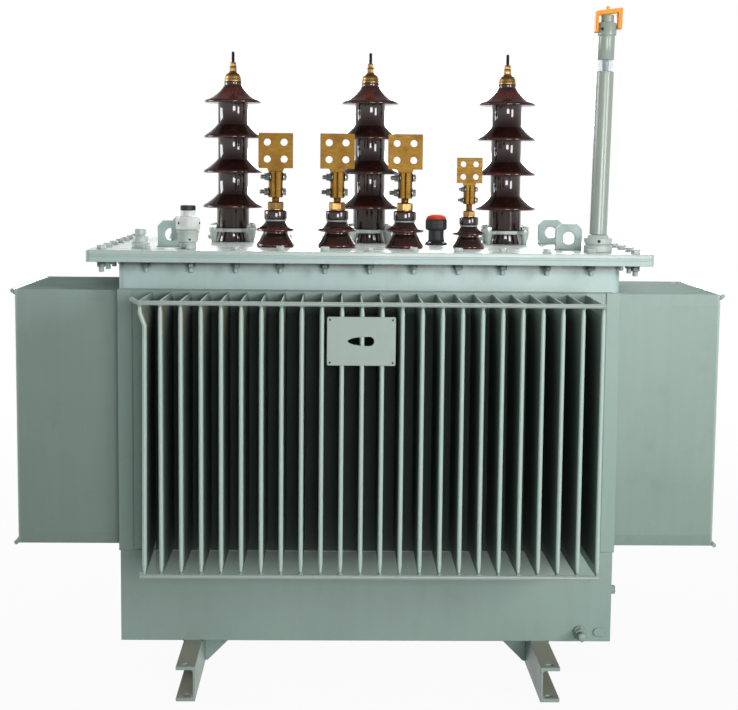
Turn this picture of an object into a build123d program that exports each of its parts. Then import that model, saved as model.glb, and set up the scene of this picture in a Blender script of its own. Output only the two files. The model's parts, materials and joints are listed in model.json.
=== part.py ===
from build123d import *
import os
from math import cos, radians, sin

# Oil-immersed power transformer with corrugated cooling walls, in millimetres
# +X is the right end, +Y the rear, +Z up; the origin is on the floor under the tank's middle

# Base channels
rail_gauge = 820
channel_height = 80
channel_width = 43
channel_web = 5
channel_flange = 8
channel_root_radius = 6
channel_length = 970
base_hole_radius = 9
base_hole_spacing = 930

# Gussets between channel and tank floor
gusset_leg = 75
gusset_toe = 6
gusset_plate = 8
gusset_setback = 90

# Tank
tank_width = 1158
tank_depth = 560
tank_wall = 4
tank_floor = 6
lower_tank_height = 217
fin_wall_height = 613
rim_height = 66
rim_corner_radius = 14
post_leg = 33
post_proud = 3
post_wall = 7

# Cooling fins
fin_pitch = 43.6
fin_depth = 250
fin_thickness = 10
fin_end_thickness = 3
fin_pinch = 26
fin_foot = 2
fin_headroom = 6
fin_margin = 30
fin_clearance = 0.3
tie_bar_radius = 5
tie_bar_drop = 4
tie_bar_lift = 1
tie_bar_setback = 2

# Dent in the first front fin: push of its nose below the kink and at the foot
dent_push = 10
dent_rest = 7
dent_kink = 54

# Bent end of the upper front tie bar
bar_hook_run = 16
bar_hook_back = 14
bar_hook_rise = 7
bar_hook_radius = 10

# Cover joint
cover_overhang = 66
cover_corner_radius = 12
cover_thickness = 10
cover_edge_radius = 2.5
gasket_thickness = 5
gasket_inset = 1
flange_thickness = 12
seat_gap = 0.3

# High-voltage bushings, placed from the tank's ends and rear face
hv_end_margin = 230.5
hv_row_shift = 6
hv_row_setback = 130
hv_foot_radius = 41
hv_shoulder_radius = 34
hv_foot_height = 25
hv_body_radius = 38
hv_lower_radius = 41
hv_shed_radius = 72
hv_shed_growth = 1.5
hv_shed_count = 4
hv_first_shed = 86
hv_shed_pitch = 88
hv_shed_edge = 9
hv_shed_bevel = 2
hv_shed_rise = 34
hv_shed_dish = 4
hv_knee_out = 0.45
hv_knee_up = 0.5
hv_neck_radius = 21.5
hv_neck_height = 7.5
hv_skirt = 12.5
hv_dome_radius = 21
hv_dome_height = 25
hv_dome_band = 7
hv_nut_radius = 10
hv_nut_height = 24
hv_stud_radius = 4
hv_stud_length = 26
clamp_ring_radius = 50
clamp_ring_height = 9
clamp_ring_gap = 0.5
clamp_ear_radius = 11
clamp_ear_circle = 65
clamp_ear_count = 4
clamp_stud_radius = 6
clamp_stud_height = 46

# Low-voltage bushings: three phases and a smaller neutral in one row
lv_row_setback = 155
lv_phase_x = (-224, -77, 85)
lv_neutral_x = 239
lv_rim_edge = 7
lv_shed_edge = 4
lv_bevel = 4
lv_groove = 3
phase_size = dict(
    rim=45.5, throat=29, waist=24, ring=26.5, shed_z=38, ring_z=65, nut_z=89,
    nut_radius=20, nut_height=19, stem_radius=10, stem_height=10,
    clamp_width=33, clamp_depth=34, clamp_height=61, clamp_round=9, slit=4, slit_depth=22,
    tab_width=40, tab_height=8,
    palm_width=82, palm_height=83, palm_thickness=14, hole_spacing=40, hole_radius=8.5,
)
neutral_size = dict(
    rim=38, throat=24, waist=20, ring=21.5, shed_z=31, ring_z=51, nut_z=76,
    nut_radius=16, nut_height=15, stem_radius=8, stem_height=15,
    clamp_width=27, clamp_depth=28, clamp_height=44, clamp_round=7, slit=3, slit_depth=18,
    tab_width=32, tab_height=6,
    palm_width=60, palm_height=60, palm_thickness=12, hole_spacing=30, hole_radius=7,
)

# Lifting lugs
lug_end_margin = 107
lug_shift = 2.5
lug_setback = 120
lug_width = 63
lug_height = 62
lug_plate = 12
lug_corner = 13
lug_hole_radius = 15
lug_hole_height = 29

# Relief valve, filler plug and gauge stand in one line behind the front bolts
front_fitting_setback = 35
fitting_bevel = 2
relief_end_margin = 157
relief_foot_radius = 19.5
relief_foot_height = 15
relief_base_radius = 23.5
relief_base_height = 21.5
relief_ring_radius = 26
relief_ring_height = 7
relief_drum_radius = 28.5
relief_drum_height = 30
relief_neck_radius = 17
relief_neck_height = 14.5
relief_cap_radius = 17.5
relief_cap_height = 12
filler_end_margin = 47
filler_foot_radius = 20.5
filler_foot_height = 15
filler_body_radius = 17.5
filler_body_height = 14.5
filler_cap_radius = 13
filler_cap_height = 15

# Tap changer
tap_x = 172
tap_behind_row = 175
tap_flare_radius = 28
tap_flare_edge = 4
tap_flare_height = 14
tap_neck_radius = 19
tap_base_height = 36
tap_knob_radius = 27
tap_knob_side_count = 12
tap_knob_height = 28
tap_knob_chamfer = 4
tap_cap_radius = 25
tap_cap_height = 12
tap_crown_radius = 6

# Oil level gauge
gauge_end_margin = 48
gauge_lean = 1.0
gauge_flange_radius = 33.5
gauge_flange_height = 16
gauge_groove_depth = 3
gauge_groove_height = 3
gauge_ring_radius = 32
gauge_ring_height = 14
gauge_skirt_radius = 25.5
gauge_skirt_height = 7
gauge_skirt_lip = 2
gauge_tube_radius = 20
gauge_tube_height = 375
gauge_window_height = 26
gauge_glass_radius = 18
gauge_glass_wall = 3
gauge_rod_radius = 7.5
gauge_neck_height = 55
gauge_neck_radius = 19
gauge_head_radius = 22
gauge_head_height = 30
gauge_head_bevel = 3
gauge_knob_radius = 15
gauge_knob_height = 17
lock_left = 26.5
lock_right = 31.5
lock_leg = 38
lock_strip = 4
lock_block = 8
lock_rise = 9
lock_depth = 24
lock_peg_radius = 2.5
lock_peg_height = 8

# Nameplate
plate_width = 149
plate_height = 106
plate_thickness = 2
plate_corner_radius = 4
plate_x = -23.5
plate_drop = 84
plate_slot_length = 57
plate_slot_radius = 10
plate_slot_shift = -1

# Fittings low on the tank
fitting_height = 23
drain_end_margin = 74
drain_boss_radius = 16
drain_boss_length = 8
drain_body_radius = 14
drain_body_length = 16
drain_stub_radius = 9
drain_stub_length = 12
drain_cap_radius = 11.5
drain_cap_length = 16
earth_end_margin = 26
earth_width = 30
earth_height = 20
earth_thickness = 5
plug_setback = 40
plug_height = 116
plug_radius = 11
plug_length = 15
hex_side_count = 6

# Levels and faces that the pieces share
floor_z = channel_height
lower_top = floor_z + lower_tank_height
wall_top = lower_top + fin_wall_height
flange_z = wall_top + rim_height
gasket_z = flange_z + flange_thickness
cover_z = gasket_z + gasket_thickness
cover_top = cover_z + cover_thickness
front_face = tank_depth / 2
side_face = tank_width / 2
cover_width = tank_width + 2 * cover_overhang
cover_depth = tank_depth + 2 * cover_overhang
inner_width = tank_width - 2 * tank_wall
inner_depth = tank_depth - 2 * tank_wall
inner_corner_radius = rim_corner_radius - tank_wall
fin_bottom = lower_top + fin_foot
fin_top = wall_top - fin_headroom
front_panel = 2 * (side_face + post_proud - post_leg)
side_panel = 2 * (front_face + post_proud - post_leg)
front_fin_count = int((front_panel - 2 * fin_margin) / fin_pitch) + 1
side_fin_count = int((side_panel - 2 * fin_margin) / fin_pitch) + 1
hv_row_y = front_face - hv_row_setback
lv_row_y = lv_row_setback - front_face
front_fitting_y = front_fitting_setback - front_face
hv_places = [hv_row_shift + (side_face - hv_end_margin) * i for i in (-1, 0, 1)]
hv_last_shed = hv_first_shed + hv_shed_pitch * (hv_shed_count - 1)
hv_height = hv_last_shed + hv_shed_rise + hv_skirt + hv_neck_height

os.makedirs("parts", exist_ok=True)


def keep(piece, name):
    """Labels a finished piece and writes it."""
    piece.part.label = name
    export_step(piece.part, f"parts/{name}.step")


def upright(x, y, z):
    """A plane facing the front, for profiles that turn about a vertical axis at x, y."""
    return Plane(origin=(x, y, z), x_dir=(1, 0, 0), z_dir=(0, -1, 0))


def turned(profile, plane):
    """A solid of revolution about the plane's own upright axis, from (radius, height) points."""
    with BuildPart() as body:
        with BuildSketch(plane):
            with BuildLine():
                Polyline(*profile, close=True)
            make_face()
        revolve(axis=Axis(plane.origin, plane.y_dir))
    return body


def dome(radius, height, crown, base):
    """Profile points of a dome from its edge at height base up to a flat crown."""
    steps = [radians(angle) for angle in (0, 25, 50)]
    rounded = [(crown + (radius - crown) * cos(a), base + height * sin(a)) for a in steps]
    return rounded + [(crown, base + height)]


def base_channel(side):
    """One skid: a channel with its web inside and holes through both flanges at each end."""
    web = side * (rail_gauge - channel_width) / 2
    lip = side * (rail_gauge + channel_width) / 2
    root = web + side * channel_web
    with BuildPart() as channel:
        with BuildSketch(Plane.XZ):
            with BuildLine():
                Polyline(
                    (web, 0), (lip, 0), (lip, channel_flange), (root, channel_flange),
                    (root, channel_height - channel_flange), (lip, channel_height - channel_flange),
                    (lip, channel_height), (web, channel_height), close=True,
                )
            make_face()
        extrude(amount=channel_length / 2, both=True)
        inside_edges = channel.edges().filter_by(Axis.Y).filter_by_position(Axis.X, root - 0.1, root + 0.1)
        fillet(inside_edges, channel_root_radius)
        with Locations((side * rail_gauge / 2, 0, channel_height)):
            with GridLocations(0, base_hole_spacing, 1, 2):
                Hole(base_hole_radius, depth=channel_height)
    return channel


keep(base_channel(-1), "base_channel_left")
keep(base_channel(1), "base_channel_right")

# Four gussets brace the channel webs to the tank floor
with BuildPart() as base_gussets:
    web_x = (rail_gauge - channel_width) / 2
    for row in (-1, 1):
        with BuildSketch(Plane.XZ.offset(row * (front_face - gusset_setback))):
            for side in (-1, 1):
                with BuildLine():
                    Polyline(
                        (side * web_x, floor_z), (side * (web_x - gusset_leg), floor_z),
                        (side * (web_x - gusset_leg), floor_z - gusset_toe),
                        (side * (web_x - gusset_toe), floor_z - gusset_leg),
                        (side * web_x, floor_z - gusset_leg), close=True,
                    )
                make_face()
        extrude(amount=gusset_plate / 2, both=True)
keep(base_gussets, "base_gussets")

# Lower tank: an open tray of plate that the corrugated walls stand on
with BuildPart() as lower_tank:
    with BuildSketch(Plane.XY.offset(floor_z)):
        Rectangle(tank_width, tank_depth)
    extrude(amount=lower_tank_height)
    with BuildSketch(Plane.XY.offset(floor_z + tank_floor)):
        Rectangle(inner_width, inner_depth)
    extrude(amount=lower_tank_height, mode=Mode.SUBTRACT)
keep(lower_tank, "lower_tank")


def cooling_fin(sections):
    """A flat fin that points to -Y from the wall face, with a round nose and pinched, closed ends.

    sections holds (height, thickness, sideways push of the nose) from the bottom up."""
    with BuildPart() as fin:
        for height, thickness, push in sections:
            half = thickness / 2
            nose = half - fin_depth
            root = tank_wall / 2
            with BuildSketch(Plane.XY.offset(height)):
                with BuildLine():
                    Line((half, root), (half + push, nose))
                    ThreePointArc((half + push, nose), (push, -fin_depth), (push - half, nose))
                    Polyline((push - half, nose), (-half, root), (half, root))
                make_face()
        loft(ruled=True)
    return fin


straight_fin = cooling_fin((
    (fin_bottom, fin_end_thickness, 0),
    (fin_bottom + fin_pinch, fin_thickness, 0),
    (fin_top - fin_pinch, fin_thickness, 0),
    (fin_top, fin_end_thickness, 0),
))
dented_fin = cooling_fin((
    (fin_bottom, fin_end_thickness, dent_rest),
    (fin_bottom + fin_pinch, fin_thickness, dent_rest),
    (fin_top - dent_kink, fin_thickness, dent_push),
    (fin_top - fin_pinch, fin_thickness, 0),
    (fin_top, fin_end_thickness, 0),
))


def fin_wall(angle, face, width, count, first_fin):
    """A sheet with a row of fins, turned about Z so that the fins point away from the tank."""
    first_x = -fin_pitch * (count - 1) / 2
    with BuildPart() as wall:
        with Locations(Location((0, 0, 0), (0, 0, angle))):
            with Locations((0, tank_wall / 2 - face, (lower_top + wall_top) / 2)):
                Box(width, tank_wall, fin_wall_height)
            with Locations((first_x, -face, 0)):
                add(first_fin.part)
            with Locations(*[(first_x + fin_pitch * i, -face, 0) for i in range(1, count)]):
                add(straight_fin.part)
    return wall


keep(fin_wall(0, front_face, front_panel, front_fin_count, dented_fin), "front_fin_wall")
keep(fin_wall(180, front_face, front_panel, front_fin_count, straight_fin), "rear_fin_wall")
keep(fin_wall(-90, side_face, side_panel, side_fin_count, straight_fin), "left_fin_wall")
keep(fin_wall(90, side_face, side_panel, side_fin_count, straight_fin), "right_fin_wall")

# Angle posts close the four upright corners between the corrugated walls
with BuildPart() as corner_posts:
    with BuildSketch(Plane.XY.offset(lower_top)):
        for side in (-1, 1):
            for row in (-1, 1):
                out_x = side * (side_face + post_proud)
                out_y = row * (front_face + post_proud)
                leg_x = out_x - side * post_leg
                leg_y = out_y - row * post_leg
                back_x = out_x - side * post_wall
                back_y = out_y - row * post_wall
                with BuildLine():
                    Polyline(
                        (out_x, out_y), (leg_x, out_y), (leg_x, back_y), (back_x, back_y),
                        (back_x, leg_y), (out_x, leg_y), close=True,
                    )
                make_face()
    extrude(amount=fin_wall_height)
keep(corner_posts, "corner_posts")

# Round bars tie the fin noses together, high and low on each wall
with BuildPart() as fin_tie_bars:
    low_bar = fin_bottom + tie_bar_lift
    high_bar = fin_top - tie_bar_drop
    bar_offset = fin_depth + fin_clearance + tie_bar_radius
    bar_y = front_face + bar_offset
    bar_ends = fin_thickness - 2 * tie_bar_setback
    front_bar = fin_pitch * (front_fin_count - 1) + bar_ends
    side_bar = fin_pitch * (side_fin_count - 1) + bar_ends
    for level in (low_bar, high_bar):
        for side in (-1, 1):
            with Locations(Location((side * (side_face + bar_offset), 0, level), (90, 0, 0))):
                Cylinder(tie_bar_radius, side_bar)
    for y, level in ((bar_y, low_bar), (bar_y, high_bar), (-bar_y, low_bar)):
        with Locations(Location((0, y, level), (0, 90, 0))):
            Cylinder(tie_bar_radius, front_bar)
    bent_x = -front_bar / 2
    with BuildLine():
        FilletPolyline(
            (front_bar / 2, -bar_y, high_bar),
            (bent_x, -bar_y, high_bar),
            (bent_x - bar_hook_run, bar_hook_back - bar_y, high_bar + bar_hook_rise),
            radius=bar_hook_radius,
        )
    with BuildSketch(Plane(origin=(front_bar / 2, -bar_y, high_bar), z_dir=(-1, 0, 0))):
        Circle(tie_bar_radius)
    sweep()
keep(fin_tie_bars, "fin_tie_bars")

# Rim: the smooth band above the fins, with the flange that the cover bolts to
with BuildPart() as top_rim:
    with BuildSketch(Plane.XY.offset(wall_top)):
        RectangleRounded(tank_width, tank_depth, rim_corner_radius)
    extrude(amount=rim_height + flange_thickness)
    with BuildSketch(Plane.XY.offset(flange_z)):
        RectangleRounded(cover_width, cover_depth, cover_corner_radius)
    extrude(amount=flange_thickness)
    with BuildSketch(Plane.XY.offset(wall_top)):
        RectangleRounded(inner_width, inner_depth, inner_corner_radius)
    extrude(amount=rim_height + flange_thickness, mode=Mode.SUBTRACT)
keep(top_rim, "top_rim")

with BuildPart() as cover_gasket:
    with BuildSketch(Plane.XY.offset(gasket_z)):
        RectangleRounded(
            cover_width - 2 * gasket_inset,
            cover_depth - 2 * gasket_inset,
            cover_corner_radius - gasket_inset,
        )
        RectangleRounded(inner_width, inner_depth, inner_corner_radius, mode=Mode.SUBTRACT)
    extrude(amount=gasket_thickness)
keep(cover_gasket, "cover_gasket")

with BuildPart() as cover:
    with BuildSketch(Plane.XY.offset(cover_z)):
        RectangleRounded(cover_width, cover_depth, cover_corner_radius)
    extrude(amount=cover_thickness)
    fillet(cover.faces().sort_by(Axis.Z)[-1].edges(), cover_edge_radius)
keep(cover, "cover")


def hv_profile():
    """Half section of a high-voltage porcelain: foot, shoulder, body with dished sheds, neck."""
    points = [
        (0, 0), (hv_foot_radius, 0), (hv_shoulder_radius, hv_foot_height),
        (hv_lower_radius, hv_foot_height + clamp_ring_height + clamp_ring_gap),
    ]
    below = hv_lower_radius
    for i in range(hv_shed_count):
        rim_z = hv_first_shed + hv_shed_pitch * i
        rim = hv_shed_radius + hv_shed_growth * (hv_shed_count - 1 - i)
        top = hv_body_radius
        rise = hv_shed_rise
        if i == hv_shed_count - 1:
            top = hv_neck_radius
            rise = hv_shed_rise + hv_skirt
        points += [
            (below, rim_z + hv_shed_dish), (rim - hv_shed_bevel, rim_z), (rim, rim_z + hv_shed_bevel),
            (rim, rim_z + hv_shed_edge - hv_shed_bevel), (rim - hv_shed_bevel, rim_z + hv_shed_edge),
            (top + (rim - top) * hv_knee_out, rim_z + rise * hv_knee_up), (top, rim_z + rise),
        ]
        below = hv_body_radius
    return points + [(hv_neck_radius, hv_height), (0, hv_height)]


for number, x in enumerate(hv_places, start=1):
    keep(turned(hv_profile(), upright(x, hv_row_y, cover_top)), f"hv_porcelain_{number}")

# Brass dome, nuts and stud on each high-voltage porcelain
for number, x in enumerate(hv_places, start=1):
    nut_z = hv_height + hv_dome_height
    band_top = hv_height + hv_dome_band
    dome_profile = dome(hv_dome_radius, nut_z - band_top, hv_nut_radius, band_top)
    with BuildPart() as hv_terminal:
        with BuildSketch(upright(x, hv_row_y, cover_top)):
            with BuildLine():
                Polyline((0, hv_height), (hv_dome_radius, hv_height), *dome_profile, (0, nut_z), close=True)
            make_face()
        revolve(axis=Axis((x, hv_row_y, 0), (0, 0, 1)))
        with BuildSketch(Plane.XY.offset(cover_top + nut_z)):
            with Locations((x, hv_row_y)):
                RegularPolygon(hv_nut_radius, hex_side_count)
        extrude(amount=hv_nut_height)
        with BuildSketch(Plane.XY.offset(cover_top + nut_z + hv_nut_height)):
            with Locations((x, hv_row_y)):
                Circle(hv_stud_radius)
        extrude(amount=hv_stud_length)
    keep(hv_terminal, f"hv_terminal_{number}")

# Clamp rings with ears on studs hold the porcelain feet to the cover
with BuildPart() as hv_clamps:
    with BuildSketch(Plane.XY.offset(cover_top + hv_foot_height)):
        for x in hv_places:
            with Locations((x, hv_row_y)):
                Circle(clamp_ring_radius)
                with PolarLocations(clamp_ear_circle, clamp_ear_count, start_angle=180 / clamp_ear_count):
                    Circle(clamp_ear_radius)
                with PolarLocations(clamp_ear_circle / 2, clamp_ear_count, start_angle=180 / clamp_ear_count):
                    Rectangle(clamp_ear_circle, 2 * clamp_ear_radius)
                Circle(hv_lower_radius + clamp_ring_gap, mode=Mode.SUBTRACT)
    extrude(amount=clamp_ring_height)
    with BuildSketch(Plane.XY.offset(cover_top)):
        for x in hv_places:
            with Locations((x, hv_row_y)):
                with PolarLocations(clamp_ear_circle, clamp_ear_count, start_angle=180 / clamp_ear_count):
                    Circle(clamp_stud_radius)
    extrude(amount=clamp_stud_height)
keep(hv_clamps, "hv_clamps")


def lv_porcelain(x, rim, throat, waist, ring, shed_z, ring_z, nut_z):
    """Porcelain of a low-voltage bushing: flared foot, one shed, gasket groove and upper ring."""
    profile = [
        (0, 0), (rim, 0), (rim, lv_rim_edge), (rim - lv_bevel, lv_rim_edge + lv_bevel),
        (throat, shed_z - lv_bevel), (throat, shed_z), (rim - lv_groove, shed_z),
        (rim, shed_z + lv_shed_edge), (rim - lv_bevel, shed_z + 2 * lv_shed_edge), (waist, ring_z - lv_bevel),
        (waist - lv_groove, ring_z - lv_groove), (waist - lv_groove, ring_z), (ring, ring_z + lv_groove),
        (ring, nut_z - lv_bevel), (ring - lv_bevel, nut_z), (0, nut_z),
    ]
    return turned(profile, upright(x, lv_row_y, cover_top))


def lv_stud(x, base, nut_radius, nut_height, stem_radius, stem_height):
    """Hexagon nut with the threaded stem that the flag terminal grips."""
    with BuildPart() as stud:
        with BuildSketch(Plane.XY.offset(base)):
            with Locations((x, lv_row_y)):
                RegularPolygon(nut_radius, hex_side_count)
        extrude(amount=nut_height)
        with BuildSketch(Plane.XY.offset(base + nut_height)):
            with Locations((x, lv_row_y)):
                Circle(stem_radius)
        extrude(amount=stem_height - seat_gap)
    return stud


def lv_terminal(x, base, size):
    """Flag terminal: split clamp block, short tab and a palm with four holes, facing the front."""
    clamp_top = base + size["clamp_height"]
    palm_bottom = clamp_top + size["tab_height"]
    half_clamp = size["clamp_width"] / 2
    half_tab = size["tab_width"] / 2
    with BuildPart() as terminal:
        with BuildSketch(Plane.XY.offset(base)):
            with Locations((x, lv_row_y)):
                RectangleRounded(size["clamp_width"], size["clamp_depth"], size["clamp_round"])
        extrude(amount=size["clamp_height"])
        with BuildSketch(Plane.XZ.offset(-lv_row_y)):
            with BuildLine():
                Polyline(
                    (x - half_clamp, clamp_top), (x + half_clamp, clamp_top), (x + half_tab, palm_bottom),
                    (x - half_tab, palm_bottom), close=True,
                )
            make_face()
            with Locations((x, palm_bottom + size["palm_height"] / 2)):
                Rectangle(size["palm_width"], size["palm_height"])
                with GridLocations(size["hole_spacing"], size["hole_spacing"], 2, 2):
                    Circle(size["hole_radius"], mode=Mode.SUBTRACT)
        extrude(amount=size["palm_thickness"] / 2, both=True)
        with BuildSketch(Plane.XY.offset(base)):
            with Locations((x, lv_row_y - size["clamp_depth"] / 2)):
                Rectangle(size["slit"], 2 * size["slit_depth"])
        extrude(amount=size["clamp_height"], mode=Mode.SUBTRACT)
    return terminal


porcelain_names = ("rim", "throat", "waist", "ring", "shed_z", "ring_z", "nut_z")
stud_names = ("nut_radius", "nut_height", "stem_radius", "stem_height")
lv_row = [(x, phase_size) for x in lv_phase_x] + [(lv_neutral_x, neutral_size)]
for number, (x, size) in enumerate(lv_row, start=1):
    nut_base = cover_top + size["nut_z"]
    clamp_base = nut_base + size["nut_height"] + size["stem_height"]
    porcelain_size = {name: size[name] for name in porcelain_names}
    stud_size = {name: size[name] for name in stud_names}
    keep(lv_porcelain(x, **porcelain_size), f"lv_porcelain_{number}")
    keep(lv_stud(x, nut_base, **stud_size), f"lv_stud_{number}")
    keep(lv_terminal(x, clamp_base, size), f"lv_terminal_{number}")

# Lifting lugs: four plates facing the front, welded to the cover
with BuildPart() as lifting_lugs:
    lug_x = side_face - lug_end_margin
    half_lug = lug_width / 2
    lug_top = cover_top + lug_height
    for row in (-1, 1):
        with BuildSketch(Plane.XZ.offset(row * (front_face - lug_setback))):
            for x in (lug_shift - lug_x, lug_shift + lug_x):
                with BuildLine():
                    Polyline(
                        (x - half_lug, cover_top), (x + half_lug, cover_top),
                        (x + half_lug, lug_top - lug_corner), (x + half_lug - lug_corner, lug_top),
                        (x - half_lug + lug_corner, lug_top),
                        (x - half_lug, lug_top - lug_corner), close=True,
                    )
                make_face()
                with Locations((x, cover_top + lug_hole_height)):
                    Circle(lug_hole_radius, mode=Mode.SUBTRACT)
        extrude(amount=lug_plate / 2, both=True)
keep(lifting_lugs, "lifting_lugs")

# Relief valve: stepped base, drum with a neck, and cap
relief_plane = upright(relief_end_margin - side_face, front_fitting_y, cover_top)
base_top = relief_foot_height + relief_base_height
ring_top = base_top + relief_ring_height
drum_top = ring_top + relief_drum_height
neck_top = drum_top + relief_neck_height
cap_top = neck_top + relief_cap_height
keep(turned(
    [
        (0, 0), (relief_foot_radius, 0), (relief_foot_radius, relief_foot_height),
        (relief_base_radius, relief_foot_height + fitting_bevel), (relief_base_radius, base_top),
        (relief_ring_radius, base_top), (relief_ring_radius, ring_top), (0, ring_top),
    ],
    relief_plane,
), "relief_valve_base")
keep(turned(
    [
        (0, ring_top), (relief_drum_radius - fitting_bevel, ring_top),
        (relief_drum_radius, ring_top + fitting_bevel), (relief_drum_radius, drum_top - fitting_bevel),
        (relief_drum_radius - fitting_bevel, drum_top), (relief_neck_radius, drum_top),
        (relief_neck_radius, neck_top), (0, neck_top),
    ],
    relief_plane,
), "relief_valve_drum")
keep(turned(
    [
        (0, neck_top), (relief_cap_radius, neck_top), (relief_cap_radius, cap_top - fitting_bevel),
        (relief_cap_radius - fitting_bevel, cap_top), (0, cap_top),
    ],
    relief_plane,
), "relief_valve_cap")

# Filler plug: three steps with bevelled shoulders
filler_body_top = filler_foot_height + filler_body_height
filler_top = filler_body_top + filler_cap_height
keep(turned(
    [
        (0, 0), (filler_foot_radius, 0), (filler_foot_radius, filler_foot_height - fitting_bevel),
        (filler_body_radius, filler_foot_height), (filler_body_radius, filler_body_top - fitting_bevel),
        (filler_cap_radius, filler_body_top), (filler_cap_radius, filler_top - fitting_bevel),
        (filler_cap_radius - fitting_bevel, filler_top), (0, filler_top),
    ],
    upright(filler_end_margin - side_face, front_fitting_y, cover_top),
), "filler_plug")

# Tap changer: flared foot, grip knob with flats and domed cap
tap_y = lv_row_y + tap_behind_row
tap_plane = upright(tap_x, tap_y, cover_top)
keep(turned(
    [
        (0, 0), (tap_flare_radius, 0), (tap_flare_radius, tap_flare_edge),
        (tap_neck_radius, tap_flare_height), (tap_neck_radius, tap_base_height), (0, tap_base_height),
    ],
    tap_plane,
), "tap_changer_base")
with BuildPart() as tap_knob:
    with BuildSketch(Plane.XY.offset(cover_top + tap_base_height)):
        with Locations((tap_x, tap_y)):
            RegularPolygon(tap_knob_radius, tap_knob_side_count)
    extrude(amount=tap_knob_height)
    chamfer(tap_knob.faces().sort_by(Axis.Z)[0].edges(), tap_knob_chamfer)
keep(tap_knob, "tap_changer_knob")
cap_z = tap_base_height + tap_knob_height
cap_rounding = dome(tap_cap_radius, tap_cap_height, tap_crown_radius, cap_z)
keep(turned([(0, cap_z), *cap_rounding, (0, cap_z + tap_cap_height)], tap_plane), "tap_changer_cap")

# Oil level gauge: flange upright on the cover, tube leaning a little to the right
gauge_x = side_face - gauge_end_margin
groove_top = gauge_flange_height + gauge_groove_height
gauge_ring_top = groove_top + gauge_ring_height
skirt_top = gauge_ring_top + gauge_skirt_height
keep(turned(
    [
        (0, 0), (gauge_flange_radius, 0), (gauge_flange_radius, gauge_flange_height),
        (gauge_ring_radius - gauge_groove_depth, gauge_flange_height),
        (gauge_ring_radius - gauge_groove_depth, groove_top), (gauge_ring_radius, groove_top),
        (gauge_ring_radius, gauge_ring_top), (gauge_skirt_radius, gauge_ring_top),
        (gauge_tube_radius + gauge_skirt_lip, skirt_top), (0, skirt_top),
    ],
    upright(gauge_x, front_fitting_y, cover_top),
), "gauge_flange")

lean = radians(gauge_lean)
tube_seat = cover_top + skirt_top + seat_gap + gauge_tube_radius * sin(lean)
tube_plane = Plane(
    origin=(gauge_x, front_fitting_y, tube_seat), x_dir=(cos(lean), 0, -sin(lean)), z_dir=(0, -1, 0)
)
window_top = gauge_tube_height + gauge_window_height
head_z = window_top + gauge_neck_height
knob_z = head_z + gauge_head_height
knob_top = knob_z + gauge_knob_height
glass_bore = gauge_glass_radius - gauge_glass_wall
keep(turned(
    [
        (0, 0), (gauge_tube_radius, 0), (gauge_tube_radius, gauge_tube_height),
        (gauge_rod_radius, gauge_tube_height), (gauge_rod_radius, window_top), (0, window_top),
    ],
    tube_plane,
), "gauge_tube")
keep(turned(
    [
        (glass_bore, gauge_tube_height), (gauge_glass_radius, gauge_tube_height),
        (gauge_glass_radius, window_top), (glass_bore, window_top),
    ],
    tube_plane,
), "gauge_glass")
keep(turned(
    [
        (0, window_top), (gauge_neck_radius, window_top), (gauge_neck_radius, head_z),
        (gauge_head_radius, head_z), (gauge_head_radius, knob_z - gauge_head_bevel),
        (gauge_head_radius - gauge_head_bevel, knob_z),
        (gauge_knob_radius, knob_z), (gauge_knob_radius, knob_top), (0, knob_top),
    ],
    tube_plane,
), "gauge_head")

# Lock: a strap that rises to the right over the gauge's knob, with a peg on top
with BuildPart() as gauge_lock:
    slope = lock_rise / (lock_left + lock_right)
    strap_plane = Plane(
        origin=tube_plane.from_local_coords((0, knob_top + seat_gap + slope * gauge_knob_radius)),
        x_dir=tube_plane.x_dir,
        z_dir=tube_plane.z_dir,
    )
    left_inside = lock_strip - lock_left
    right_inside = lock_right - lock_block
    left_foot = -slope * lock_left - lock_leg
    right_foot = slope * lock_right - lock_leg
    with BuildSketch(strap_plane):
        with BuildLine():
            Polyline(
                (left_inside, slope * left_inside), (left_inside, left_foot), (-lock_left, left_foot),
                (-lock_left, lock_block - slope * lock_left), (lock_right, lock_block + slope * lock_right),
                (lock_right, right_foot), (right_inside, right_foot), (right_inside, slope * right_inside),
                close=True,
            )
        make_face()
    extrude(amount=lock_depth / 2, both=True)
    with BuildSketch(Plane(origin=strap_plane.from_local_coords((0, lock_strip)), z_dir=strap_plane.y_dir)):
        Circle(lock_peg_radius)
    extrude(amount=lock_block - lock_strip + lock_peg_height)
keep(gauge_lock, "gauge_lock")

# Bare nameplate across the front fin noses, with a bullet-shaped opening
with BuildPart() as nameplate:
    plate_z = fin_top - plate_drop
    round_x = plate_x + plate_slot_shift + plate_slot_length / 2 - plate_slot_radius
    tip_x = plate_x + plate_slot_shift - plate_slot_length / 2
    with BuildSketch(Plane.XZ.offset(front_face + fin_depth + fin_clearance)):
        with Locations((plate_x, plate_z)):
            RectangleRounded(plate_width, plate_height, plate_corner_radius)
        with BuildLine():
            EllipticalCenterArc((round_x, plate_z), round_x - tip_x, plate_slot_radius, 90, arc_size=180)
            ThreePointArc(
                (round_x, plate_z - plate_slot_radius), (round_x + plate_slot_radius, plate_z),
                (round_x, plate_z + plate_slot_radius),
            )
        make_face(mode=Mode.SUBTRACT)
    extrude(amount=plate_thickness)
keep(nameplate, "nameplate")

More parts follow.
